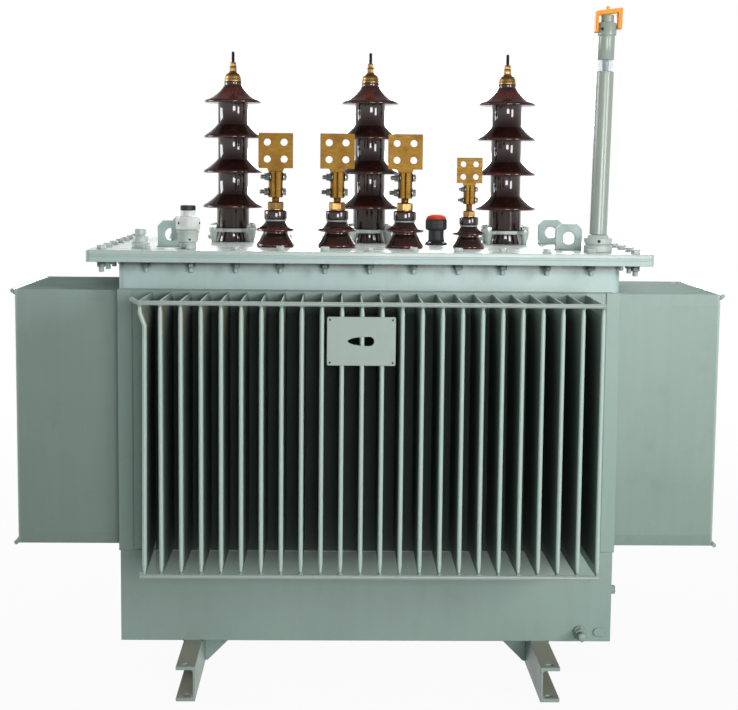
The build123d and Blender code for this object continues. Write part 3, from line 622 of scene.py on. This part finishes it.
class TRANSFORMER_OT_bolt_cover(bpy.types.Operator):
    """Bolts the cover down: heads and washers above, nuts and thread ends under the flange"""
    bl_idname = "transformer.bolt_cover"
    bl_label = "Bolt Cover"

    def execute(self, context):
        sizes = context.scene.transformer_fasteners
        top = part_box("cover")[1].z
        drop = (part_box("cover_gasket")[0].z - sizes.flange - top) / MM
        bolt = sizes.bolt / MM
        across, head, nut = 1.5 * bolt, 0.64 * bolt, 0.85 * bolt
        washer, chamfer, turn_step = 2.4, 1.5, 2.4
        end = drop - nut - sizes.tail / MM
        heads = join([
            lathe([(bolt, 0), (bolt, 0.75 * washer), (0.95 * bolt, washer)], 20),
            hexagon(across, head, washer),
        ])
        nuts = join([
            lathe([(0.95 * bolt, drop - washer), (bolt, drop - 0.75 * washer), (bolt, drop)], 20),
            hexagon(across, nut, drop - washer - nut),
            lathe([(0.4 * bolt, end), (0.5 * bolt, end + chamfer), (0.5 * bolt, drop - nut)], 14),
        ])
        spots = []
        for row in (-1, 1):
            for x in in_row(sizes.front_count, sizes.pitch):
                spots.append((sizes.shift + x, row * sizes.row))
        for side in (-1, 1):
            for i in range(1, sizes.side_count - 1):
                spots.append((side * sizes.side, sizes.row * (2 * i / (sizes.side_count - 1) - 1)))
        places = [((x, y, top), (0, 0, turn_step * i)) for i, (x, y) in enumerate(spots)]
        keep(copies(heads, places), "cover_bolts", "zinc_steel", "painted_zinc")
        keep(copies(nuts, places), "cover_nuts", "tank_paint", "rim_paint")
        return {"FINISHED"}


def draw_bead(radius, ripple):
    """A long weld bead that swells in ripples, up from the origin."""
    longest, waist, swell = 1.3, 0.8, 1.28
    bpy.ops.object.select_all(action="DESELECT")
    bpy.ops.mesh.primitive_cylinder_add(
        vertices=8, radius=radius * waist, depth=ripple, end_fill_type="NOTHING"
    )
    bead = bpy.context.object
    open_mesh(bead)
    bpy.ops.mesh.subdivide(number_cuts=1)
    bpy.ops.mesh.select_all(action="DESELECT")
    shape = bmesh.from_edit_mesh(bead.data)
    for vertex in shape.verts:
        vertex.select = abs(vertex.co.z) < ripple * 0.1
    shape.select_flush(True)
    bmesh.update_edit_mesh(bead.data)
    bpy.ops.transform.resize(value=(swell, swell, 1))
    bpy.ops.object.mode_set(mode="OBJECT")
    row = bead.modifiers.new("row", "ARRAY")
    row.fit_type = "FIT_LENGTH"
    row.fit_length = longest
    row.relative_offset_displace = (0, 0, 1)
    row.use_merge_vertices = True
    row.merge_threshold = 0.1 * MM
    bpy.ops.object.modifier_apply(modifier=row.name)
    return bead


def list_seams(post):
    """Both ends of every weld seam on the tank, lugs and skids."""
    low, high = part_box("lower_tank")
    posts_low, posts_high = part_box("corner_posts")
    lugs_low, lugs_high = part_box("lifting_lugs")
    stop, lug_plate, lug_width = 14 * MM, 12 * MM, 63 * MM
    seams = []
    for level in (posts_low.z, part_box("top_rim")[0].z):
        for y in (low.y, high.y):
            seams.append(((low.x + stop, y, level), (high.x - stop, y, level)))
        for x in (low.x, high.x):
            seams.append(((x, low.y + stop, level), (x, high.y - stop, level)))
    for x in (posts_low.x + post, posts_high.x - post):
        for y in (low.y, high.y):
            seams.append(((x, y, posts_low.z), (x, y, posts_high.z)))
    for y in (posts_low.y + post, posts_high.y - post):
        for x in (low.x, high.x):
            seams.append(((x, y, posts_low.z), (x, y, posts_high.z)))
    for y in (lugs_low.y, lugs_low.y + lug_plate, lugs_high.y - lug_plate, lugs_high.y):
        for x in (lugs_low.x, lugs_high.x - lug_width):
            seams.append(((x, y, lugs_low.z), (x + lug_width, y, lugs_low.z)))
    for name in ("base_channel_left", "base_channel_right"):
        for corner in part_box(name):
            seams.append(((corner.x, low.y, low.z), (corner.x, high.y, low.z)))
    return seams


class TRANSFORMER_OT_weld_seams(bpy.types.Operator):
    """Runs weld beads along the tank's seams and tacks the tie bars to the fins"""
    bl_idname = "transformer.weld_seams"
    bl_label = "Weld Seams"

    def execute(self, context):
        sizes = context.scene.transformer_fasteners
        ripple = 2.6 * sizes.weld
        bead = draw_bead(sizes.weld, ripple)
        beads = []
        for start, end in list_seams(sizes.post):
            run = Vector(end) - Vector(start)
            copy = duplicate(bead)
            open_mesh(copy)
            bpy.ops.mesh.bisect(
                plane_co=(0, 0, run.length - ripple / 2), plane_no=(0, 0, 1), clear_outer=True, use_fill=True
            )
            bpy.ops.object.mode_set(mode="OBJECT")
            beads.append(stand(copy, start, run.to_track_quat("Z", "Y").to_euler()))
        bpy.data.objects.remove(bead)
        keep(join(beads), "seam_welds", "tank_paint", angle=60)

        tack_radius, tack_shape = 5 * MM, (1.15, 1.0, 0.8)
        bpy.ops.object.select_all(action="DESELECT")
        bpy.ops.mesh.primitive_uv_sphere_add(segments=8, ring_count=5, radius=tack_radius)
        tack = context.object
        open_mesh(tack)
        bpy.ops.transform.resize(value=tack_shape)
        bpy.ops.object.mode_set(mode="OBJECT")
        low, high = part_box("fin_tie_bars")
        deep = 1.9 * sizes.bar
        over_low_bar = low.z + 2 * sizes.bar
        under_high_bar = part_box("front_fin_wall")[1].z - 3 * sizes.bar
        places = []
        for level in (over_low_bar, under_high_bar):
            for i, x in enumerate(in_row(sizes.front_fins, sizes.fin_pitch)):
                for y in (low.y + deep, high.y - deep):
                    places.append(((x, y, level), (0, 0, i)))
            for i, y in enumerate(in_row(sizes.side_fins, sizes.fin_pitch)):
                for x in (low.x + deep, high.x - deep):
                    places.append(((x, y, level), (0, 0, math.pi / 2 + 0.3 * i)))
        keep(copies(tack, places), "tie_bar_tacks", "tank_paint", angle=60)
        return {"FINISHED"}


class TRANSFORMER_OT_set_hv_bushings(bpy.types.Operator):
    """Turns the tall bushings: shedded porcelain, brass dome with nuts and a dark stud, and clamp nuts"""
    bl_idname = "transformer.set_hv_bushings"
    bl_label = "Set High-Voltage Bushings"

    def execute(self, context):
        low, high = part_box("hv_porcelain_1")
        rim = (high.x - low.x) / 2 / MM
        height = (high.z - low.z) / MM
        body, foot, shoulder, lower, neck = 38, 41, 34, 41, 21.5
        shed_count, shed_pitch, first_lip, taper = 4, 88, 86, 1.5
        profile = [(foot - 1, 0), (foot, 1), (foot - 0.6, 4), (shoulder, 25), (shoulder + 1, 27)]
        profile += [(lower - 1, 32), (lower, 35)]
        under = lower
        for i in range(shed_count):
            top, rise = (neck, 46.5) if i == shed_count - 1 else (body, 36)
            lip = first_lip + shed_pitch * i
            reach = rim - taper * i
            back = (reach - 2.5, lip + 7.4)
            profile += [(under, lip - 4), (under + 2, lip + 2.5), (under + 5, lip + 4)]
            profile += [(reach - 14, lip + 1.5), (reach - 4, lip), (reach - 1.2, lip + 0.7)]
            profile += [(reach, lip + 2.2), (reach - 0.2, lip + 4.6), back]
            profile += swept(back, (top + 13.5, lip + 20), (top, lip + rise), 9)
            under = body
        profile += [(neck + 1, height - 3.5), (neck + 1, height - 1), (neck, height)]
        porcelain = lathe(profile, 72)
        mark_thin_glaze(porcelain, 69, 5, crown=lip + 8, neck=neck + 2.5)

        dome = [(20.5, 0), (21.5, 0.8), (21.5, 5), (20.6, 6.5)]
        dome += swept(dome[-1], (20.4, 18), (13, 20.5), 6)
        dome += swept(dome[-1], (10.5, 21.5), (9.6, 25), 4)
        brass = join([
            lathe(dome), hexagon(15, 12, 25), hexagon(13, 10.5, 38),
            lathe([(9.5, 36.4), (9.8, 37), (9.5, 38)], 24),
        ])
        low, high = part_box("hv_terminal_1")
        tall = (high.z - low.z) / MM
        stud = lathe([(3.6, 40)] + threads(4, 47, tall - 1.5, 2) + [(3, tall)], 16)
        for number in (1, 2, 3):
            node = f"hv_porcelain_{number}"
            piece = stand(duplicate(porcelain), seat(node), (0, 0, 0.7 * number))
            keep(piece, f"hv_glazed_porcelain_{number}", "porcelain", replaces=[node], angle=50)
            node = f"hv_terminal_{number}"
            piece = stand(duplicate(brass), seat(node), (0, 0, 0.5 * number))
            keep(piece, f"hv_brass_cap_{number}", "brass", "cast_brass", [node])
            piece = stand(duplicate(stud), seat(node))
            keep(piece, f"hv_stud_{number}", "zinc_steel", "black_steel")
        for pattern in (porcelain, brass, stud):
            bpy.data.objects.remove(pattern)

        nut = join([lathe([(11, 34), (11, 35.6), (10.5, 36)], 20), hexagon(18, 9, 36)])
        claw = lathe([(6.5, 0), (7, 1), (7, 5), (9.5, 22), (9, 25)], 20)
        stud_reach = 65
        places = []
        for number in (1, 2, 3):
            places += on_corners(seat(f"hv_porcelain_{number}"), stud_reach)
        keep(copies(nut, places), "hv_clamp_nuts", "zinc_steel")
        keep(copies(claw, places), "hv_clamp_feet", "zinc_steel", "painted_zinc")
        clamps = rounded_copy("hv_clamps", 0.8)
        keep(clamps, "hv_clamp_rings", "zinc_steel", "painted_zinc", ["hv_clamps"], angle=20)
        return {"FINISHED"}


class TRANSFORMER_OT_set_lv_bushings(bpy.types.Operator):
    """Turns the short bushings with their gaskets, nuts, stems and bolted flag terminals"""
    bl_idname = "transformer.set_lv_bushings"
    bl_label = "Set Low-Voltage Bushings"

    def execute(self, context):
        outline = [(43.5, 0), (45.5, 2), (45.5, 5.5), (44, 8)] + swept((44, 8), (35, 22), (29.2, 33), 5)
        outline += [(29, 36), (31, 38.4), (39, 37.6), (43, 38), (45.5, 40), (45.3, 42.5), (43.5, 44.4)]
        outline += swept((43.5, 44.4), (29, 49), (24.6, 59), 6)
        outline += [(23.4, 61.5), (22, 62), (22, 65), (24.5, 65.6), (26.3, 67), (26.8, 69.5)]
        outline += [(26.8, 83.5), (26, 86.5), (24, 88.4), (21, 89)]
        gasket_outline = [(23.6, 61.4), (24.8, 62), (24.8, 64.8), (23.6, 65.4)]
        for number in (1, 2, 3, 4):
            # The neutral's fittings are smaller than those of the three phases
            neutral = number == 4
            node = f"lv_porcelain_{number}"
            low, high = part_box(node)
            wide = (high.x - low.x) / 2 / MM / max(radius for radius, level in outline)
            tall = (high.z - low.z) / MM / outline[-1][1]
            porcelain = lathe([(radius * wide, level * tall) for radius, level in outline], 64)
            mark_thin_glaze(porcelain, 38, 7, wide)
            stand(porcelain, seat(node))
            keep(porcelain, f"lv_glazed_porcelain_{number}", "porcelain", replaces=[node], angle=50)
            gasket = lathe([(radius * wide, level * tall) for radius, level in gasket_outline], 40)
            keep(stand(gasket, seat(node)), f"lv_gasket_{number}", "gasket_rubber")

            node = f"lv_stud_{number}"
            low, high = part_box(node)
            across = (high.y - low.y) / MM
            rise = (high.z - low.z) / MM
            nut_top = rise * (0.5 if neutral else 0.66)
            stem = across * 0.27
            stud = join([
                hexagon(across * 0.98, nut_top),
                lathe([(across * 0.56, 0), (across * 0.56, 1.2), (across * 0.5, 1.6)], 32),
                lathe([(stem * 0.8, nut_top - 2)] + threads(stem, nut_top, rise + 1, 2.2), 24),
            ])
            stand(stud, seat(node), (0, 0, 0.25 * number))
            keep(stud, f"lv_nut_{number}", "brass", "cast_brass", [node])

            node = f"lv_terminal_{number}"
            keep(rounded_copy(node, 0.9), f"lv_flag_{number}", "brass", replaces=[node], angle=20)
            half, grip, bolt = (13.5, 44, 7) if neutral else (16.5, 61, 10.5)
            washer, forward = 1.8, -8
            nut = 0.8 * bolt
            places = []
            for i, share in enumerate((0.22, 0.8)):
                place = seat(node) + Vector((0, forward * MM, grip * share * MM))
                places.append((place, (0, math.pi / 2, 0.4 * i)))
            heads = join([
                lathe([(bolt, half), (bolt, half + 1.4), (0.95 * bolt, half + washer)], 18),
                hexagon(1.6 * bolt, 0.65 * bolt, half + washer),
            ])
            keep(copies(heads, places), f"lv_clamp_heads_{number}", "zinc_steel")
            thread = threads(bolt / 2, -half - 1.9 * bolt, -half - nut, 1.6)
            ends = join([
                hexagon(1.6 * bolt, nut, -half - washer - nut),
                lathe([(bolt, -half - washer), (bolt, -half)], 18),
                lathe([(0.36 * bolt, -half - 2 * bolt)] + thread, 14),
            ])
            keep(copies(ends, places), f"lv_clamp_nuts_{number}", "zinc_steel", "dull_steel")
        return {"FINISHED"}


class TRANSFORMER_OT_fit_relief_valve(bpy.types.Operator):
    """Turns the relief valve and the filler plug beside it"""
    bl_idname = "transformer.fit_relief_valve"
    bl_label = "Fit Relief Valve"

    def execute(self, context):
        place = seat("relief_valve_base")
        base = lathe([
            (18.5, 0), (19.5, 1), (19.5, 14), (20.5, 15), (22.5, 15.4), (23.5, 16.6), (23.5, 35),
            (24.2, 36.3), (25.4, 36.7), (26, 37.6), (26, 41), (25, 42), (22.5, 42.2), (22.5, 44.4),
        ], 56)
        keep(stand(base, place), "relief_base", "valve_paint", "painted_zinc", ["relief_valve_base"])
        drum = lathe([
            (26.4, 44.4), (28, 45.4), (28.5, 47.5), (28.5, 69), (28.2, 71), (27.4, 72.6), (25, 73.5),
            (18.6, 74), (17.2, 75.2), (17, 86.6), (16.2, 88),
        ], 56)
        keep(stand(drum, place), "relief_drum", "valve_paint", replaces=["relief_valve_drum"])
        cap = lathe([(16.6, 88), (17.5, 89), (17.5, 98.4), (16.6, 99.5), (14, 100)], 40)
        flute, flute_depth = 2 * math.pi / 20, 0.9 * MM
        open_mesh(cap, "DESELECT")
        shape = bmesh.from_edit_mesh(cap.data)
        for face in shape.faces:
            middle = face.calc_center_median()
            upright = abs(face.normal.z) < 0.1 and 90 < middle.z / MM < 98
            face.select = upright and math.atan2(middle.y, middle.x) % flute < flute / 2
        bmesh.update_edit_mesh(cap.data)
        bpy.ops.mesh.extrude_region_shrink_fatten(TRANSFORM_OT_shrink_fatten={"value": -flute_depth})
        bpy.ops.object.mode_set(mode="OBJECT")
        keep(stand(cap, place), "relief_cap", "black_plastic", replaces=["relief_valve_cap"])
        screw = lathe([(2.6, 0), (2.6, 1), (1.8, 1.8)], 12)
        places = [on_side(place, 28.1, math.radians(degrees), 59) for degrees in (-135, -18, 105)]
        places.append(on_side(place, 23.1, math.radians(-76), 21.5))
        keep(copies(screw, places), "relief_screws", "zinc_steel", "black_steel")

        plug = lathe([
            (19.5, 0), (20.5, 1), (20.5, 5), (19.6, 6), (19.6, 9.5), (20.5, 10.5), (20.5, 13), (19, 14.6),
            (17.5, 15.2), (17.5, 26.5), (16.5, 28.6), (13.5, 29.6), (12, 30.2), (12, 32.4), (13, 33),
            (13, 43.4), (11.8, 44.5),
        ], 40)
        keep(stand(plug, seat("filler_plug")), "filler_cap", "tank_paint", "painted_zinc", ["filler_plug"])
        return {"FINISHED"}


class TRANSFORMER_OT_fit_tap_changer(bpy.types.Operator):
    """Turns the tap changer: flared foot with screws, faceted grip and red dome"""
    bl_idname = "transformer.fit_tap_changer"
    bl_label = "Fit Tap Changer"

    def execute(self, context):
        place = seat("tap_changer_base")
        foot = lathe([
            (27.5, 0), (28, 0.8), (28, 4), (26.5, 5), (21.5, 9), (19.5, 13), (19, 17), (19, 36), (18, 37),
        ])
        keep(stand(foot, place), "tap_foot", "black_plastic", replaces=["tap_changer_base"])
        grip = lathe([(20.5, 36), (25.5, 38.5), (27, 42), (27, 61), (26, 63.4), (24.5, 64)], 12)
        stand(grip, place, (0, 0, 0.12))
        keep(grip, "tap_grip", "black_plastic", replaces=["tap_changer_knob"], angle=20)
        dome = lathe([(24.5, 64), (25, 64.8)] + swept((25, 64.8), (23.5, 73), (13, 75.2), 6) + [(5, 76)])
        keep(stand(dome, place), "tap_dome", "red_plastic", replaces=["tap_changer_cap"])
        screw = lathe([(4.6, 4.6), (4.6, 6.4), (3.4, 8), (1.4, 8.6)], 18)
        screw_reach = 23
        keep(copies(screw, on_corners(place, screw_reach)), "tap_screws", "zinc_steel")
        return {"FINISHED"}


class TRANSFORMER_OT_fit_oil_gauge(bpy.types.Operator):
    """Turns the leaning oil level gauge: flange, tube, sight glass, head and locking strap"""
    bl_idname = "transformer.fit_oil_gauge"
    bl_label = "Fit Oil Gauge"

    def execute(self, context):
        place = seat("gauge_flange")
        flange = lathe([
            (32.5, 0), (33.5, 1), (33.5, 14.6), (32.4, 16), (29, 16.2), (29, 19), (31, 19.2), (32, 20.2),
            (32, 32), (31, 33), (25.5, 33.3), (22.6, 38), (22, 40),
        ], 56)
        keep(stand(flange, place), "gauge_base", "tank_paint", "painted_zinc", ["gauge_flange"])
        lean = math.radians(1.0)
        radius = 20
        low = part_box("gauge_tube")[0]
        foot = Vector((place.x, place.y, low.z + radius * MM * math.sin(lean)))
        tilt = (0, lean, 0)
        tube = lathe([(19.4, 0), (radius, 0.8), (radius, 373.6), (19, 375), (7.5, 375.2), (7.5, 401)])
        keep(stand(tube, foot, tilt), "gauge_barrel", "gauge_plastic", replaces=["gauge_tube"])
        glass = lathe([(15, 375.4), (18, 375.4), (18, 400.8), (15, 400.8), (15, 375.6)])
        keep(stand(glass, foot, tilt), "gauge_sight_glass", "gauge_glass", replaces=["gauge_glass"])
        head = lathe([
            (18.4, 401), (19, 402), (19, 455), (20, 456), (22, 456.4), (22, 482), (20.4, 485), (17, 486),
            (15, 486.6), (15, 501.5), (13.6, 503),
        ])
        keep(stand(head, foot, tilt), "gauge_top", "gauge_plastic", replaces=["gauge_head"])
        strap = rounded_copy("gauge_lock", 0.9)
        fatten(strap, 1.3 * MM)
        keep(strap, "gauge_strap", "orange_plastic", replaces=["gauge_lock"], angle=20)
        screw = lathe([(3.6, 0), (3.6, 1.6), (2.4, 2.4)], 14)
        places = [on_side(place, 31.6, angle, 26) for angle in (-1.65, 1.5)]
        head_middle = foot + Vector((math.sin(lean), 0, math.cos(lean))) * 470 * MM
        places.append(on_side(head_middle, 21.6, -2.22))
        keep(copies(screw, places), "gauge_screws", "zinc_steel", "black_steel")
        return {"FINISHED"}


class TRANSFORMER_OT_fit_tank_details(bpy.types.Operator):
    """Eases the lugs, nameplate, plug, pad and skids, paints the gasket, adds screws and a drain valve"""
    bl_idname = "transformer.fit_tank_details"
    bl_label = "Fit Tank Details"

    def execute(self, context):
        eased = (
            ("lifting_lugs", "eased_lugs", 1.4, "rim_paint"),
            ("nameplate", "eased_nameplate", 0.5, None),
            ("side_plug", "eased_side_plug", 0.8, None),
            ("earth_pad", "eased_earth_pad", 1.2, None),
            ("base_channel_left", "eased_skid_left", 1.2, "skid_paint"),
            ("base_channel_right", "eased_skid_right", 1.2, "skid_paint"),
            ("base_gussets", "eased_gussets", 0.8, None),
        )
        slots = {part["node"]: part["material_slot"] for part in frame["record"]["subparts"]}
        for node, name, width, finish in eased:
            keep(rounded_copy(node, width), name, slots[node], finish, [node], angle=20)

        # The paint bridges the joint, so the gasket stands flush with the edges above and below it
        gasket = rounded_copy("cover_gasket", 0.3)
        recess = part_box("cover")[1].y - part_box("cover_gasket")[1].y
        fatten(gasket, recess - 0.3 * MM, even=True)
        keep(gasket, "painted_gasket", "gasket_rubber", "rim_paint", ["cover_gasket"], angle=20)

        low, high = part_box("nameplate")
        screw = lathe([(2.4, 0), (2.4, 0.7), (1.7, 1.4), (0.8, 1.6)], 16)
        inset = 6.5 * MM
        places = []
        for x in (low.x + inset, high.x - inset):
            for z in (low.z + inset, high.z - inset):
                places.append(((x, low.y, z), (math.pi / 2, 0, 0.8)))
        keep(copies(screw, places), "nameplate_screws", "zinc_steel", "black_steel")

        low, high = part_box("drain_valve")
        middle = Vector(((low.x + high.x) / 2, high.y, (low.z + high.z) / 2))
        valve = join([
            lathe([(16.5, 0), (16.5, 3), (15.5, 5), (15, 8)], 36), hexagon(24.5, 16, 8),
            lathe([(9.2, 24), (9.2, 26)] + threads(9, 26, 35, 2.2) + [(8.4, 36)], 28),
            hexagon(20, 14.4, 36), lathe([(8.4, 50), (8.2, 51), (6, 52)], 24),
        ])
        stand(valve, middle, (math.pi / 2, 0, 0))
        keep(valve, "drain_cock", "tank_paint", replaces=["drain_valve"])
        return {"FINISHED"}


class TRANSFORMER_OT_build_studio(bpy.types.Operator):
    """Adds the pale floor, the white room, the softboxes and the camera"""
    bl_idname = "transformer.build_studio"
    bl_label = "Build Studio"

    def execute(self, context):
        scene = context.scene
        setup = scene.transformer_studio
        white = linear("FFFFFF")
        scene.view_settings.view_transform = "Standard"

        floor_size = 60
        bpy.ops.object.select_all(action="DESELECT")
        bpy.ops.mesh.primitive_plane_add(size=floor_size, location=(0, 0, 0))
        floor = context.object
        floor.name = "studio_floor"
        material, tree, place = new_material("matt_white_floor")
        path = add_node(tree, "LightPath")
        seen = path.outputs["Is Camera Ray"]
        for ray in ("Is Glossy Ray", "Is Transmission Ray"):
            seen = add_node(tree, "Math", {0: seen, 1: path.outputs[ray]}, operation="MAXIMUM")
        # The floor fades to white away from the transformer, and keeps a little shadow beside it
        away = add_node(tree, "VectorMath", {0: place}, operation="LENGTH")
        bright = add_node(tree, "MapRange", {
            "Value": away.outputs["Value"], "From Min": 1.2, "From Max": 4.5, "To Min": 0.95, "To Max": 1.0,
        })
        share = add_node(tree, "Math", {0: seen, 1: bright}, operation="MULTIPLY")
        matt = add_node(tree, "BsdfDiffuse", {"Color": scene.transformer_colours.floor})
        glow = add_node(tree, "Emission", {"Color": white, "Strength": 1.0})
        mixed = add_node(tree, "MixShader", {0: share, 1: matt, 2: glow})
        add_node(tree, "OutputMaterial", {0: mixed})
        floor.data.materials.append(material)

        world = bpy.data.worlds.new("white_room")
        world.use_nodes = True
        scene.world = world
        tree = world.node_tree
        tree.nodes.clear()
        path = add_node(tree, "LightPath")
        # Reflections see the white walls up to eye height and a dim ceiling
        ray = add_node(tree, "SeparateXYZ", {0: add_node(tree, "TexCoord").outputs["Generated"]})
        walls = add_node(tree, "MapRange", {
            "Value": ray.outputs["Z"], "From Min": 0.05, "From Max": 0.6,
            "To Min": 1.0, "To Max": setup.ceiling,
        })
        shown = add_node(tree, "Math", {0: path.outputs["Is Glossy Ray"], 1: walls}, operation="MULTIPLY")
        clear = add_node(tree, "Math", {
            0: path.outputs["Is Camera Ray"], 1: path.outputs["Is Transmission Ray"],
        }, operation="MAXIMUM")
        seen = add_node(tree, "Math", {0: shown, 1: clear}, operation="MAXIMUM")
        strength = add_node(tree, "Math", {0: seen, 1: setup.ambient}, operation="MAXIMUM")
        room = add_node(tree, "Background", {"Color": white, "Strength": strength})
        add_node(tree, "OutputWorld", {0: room})

        # Each softbox has its place, what it points at, its width and height in metres, and its power
        lamps = (
            ("front_softbox", (0.7, -4.9, 1.1), (0.1, 0, 0.8), 1.6, 1.2, setup.front),
            ("right_softbox", (2.7, -2.9, 1.5), (0, -0.3, 0.8), 1.0, 1.4, setup.right),
            ("left_softbox", (-3.4, 0.6, 1.8), (-0.6, 0, 0.7), 1.6, 1.2, setup.left),
            ("back_softbox", (0.4, 4.4, 2.2), (0, 0.2, 0.8), 2.6, 1.6, setup.back),
            ("top_softbox", (0.2, 0.3, 3.2), (0, 0, 0.9), 2.4, 1.2, setup.top),
        )
        for name, place, aim, width, height, watts in lamps:
            bpy.ops.object.light_add(type="AREA", location=place)
            lamp = context.object
            lamp.name = name
            lamp.data.shape = "RECTANGLE"
            lamp.data.size = width
            lamp.data.size_y = height
            lamp.data.energy = watts
            # Reflections show the dim ceiling in place of the overhead softbox
            lamp.visible_glossy = name != "top_softbox"
            lamp.rotation_euler = (Vector(aim) - Vector(place)).to_track_quat("-Z", "Y").to_euler()

        bpy.ops.object.camera_add()
        camera = context.object
        camera.name = "photo_camera"
        camera.data.sensor_width = 36
        camera.data.lens = setup.lens
        camera.matrix_world = Matrix((
            (0.99971185, -0.00724580, -0.02288486, -0.08597),
            (-0.02189772, 0.11528626, -0.99309092, -3.97401),
            (0.00983405, 0.99330588, 0.11509437, 1.18954),
            (0, 0, 0, 1),
        ))
        scene.camera = camera
        return {"FINISHED"}


class TRANSFORMER_PT_dressing(bpy.types.Panel):
    """Lists the dressing steps"""
    bl_idname = "TRANSFORMER_PT_dressing"
    bl_label = "Transformer"
    bl_space_type = "VIEW_3D"
    bl_region_type = "UI"
    bl_category = "Transformer"

    def draw(self, context):
        for step in steps:
            self.layout.operator(step.bl_idname)


finishes = {}
settings = (TransformerColours, TransformerFasteners, TransformerStudio)
steps = (
    TRANSFORMER_OT_finish_frame,
    TRANSFORMER_OT_bolt_cover,
    TRANSFORMER_OT_weld_seams,
    TRANSFORMER_OT_set_hv_bushings,
    TRANSFORMER_OT_set_lv_bushings,
    TRANSFORMER_OT_fit_relief_valve,
    TRANSFORMER_OT_fit_tap_changer,
    TRANSFORMER_OT_fit_oil_gauge,
    TRANSFORMER_OT_fit_tank_details,
    TRANSFORMER_OT_build_studio,
)


def register():
    for item in settings + steps + (TRANSFORMER_PT_dressing,):
        bpy.utils.register_class(item)
    bpy.types.Scene.transformer_colours = PointerProperty(type=TransformerColours)
    bpy.types.Scene.transformer_fasteners = PointerProperty(type=TransformerFasteners)
    bpy.types.Scene.transformer_studio = PointerProperty(type=TransformerStudio)


def unregister():
    del bpy.types.Scene.transformer_studio
    del bpy.types.Scene.transformer_fasteners
    del bpy.types.Scene.transformer_colours
    for item in reversed(settings + steps + (TRANSFORMER_PT_dressing,)):
        bpy.utils.unregister_class(item)


def main():
    register()
    bpy.ops.transformer.finish_frame()
    bpy.ops.transformer.bolt_cover()
    bpy.ops.transformer.weld_seams()
    bpy.ops.transformer.set_hv_bushings()
    bpy.ops.transformer.set_lv_bushings()
    bpy.ops.transformer.fit_relief_valve()
    bpy.ops.transformer.fit_tap_changer()
    bpy.ops.transformer.fit_oil_gauge()
    bpy.ops.transformer.fit_tank_details()
    bpy.ops.transformer.build_studio()


if __name__ == "__main__":
    main()
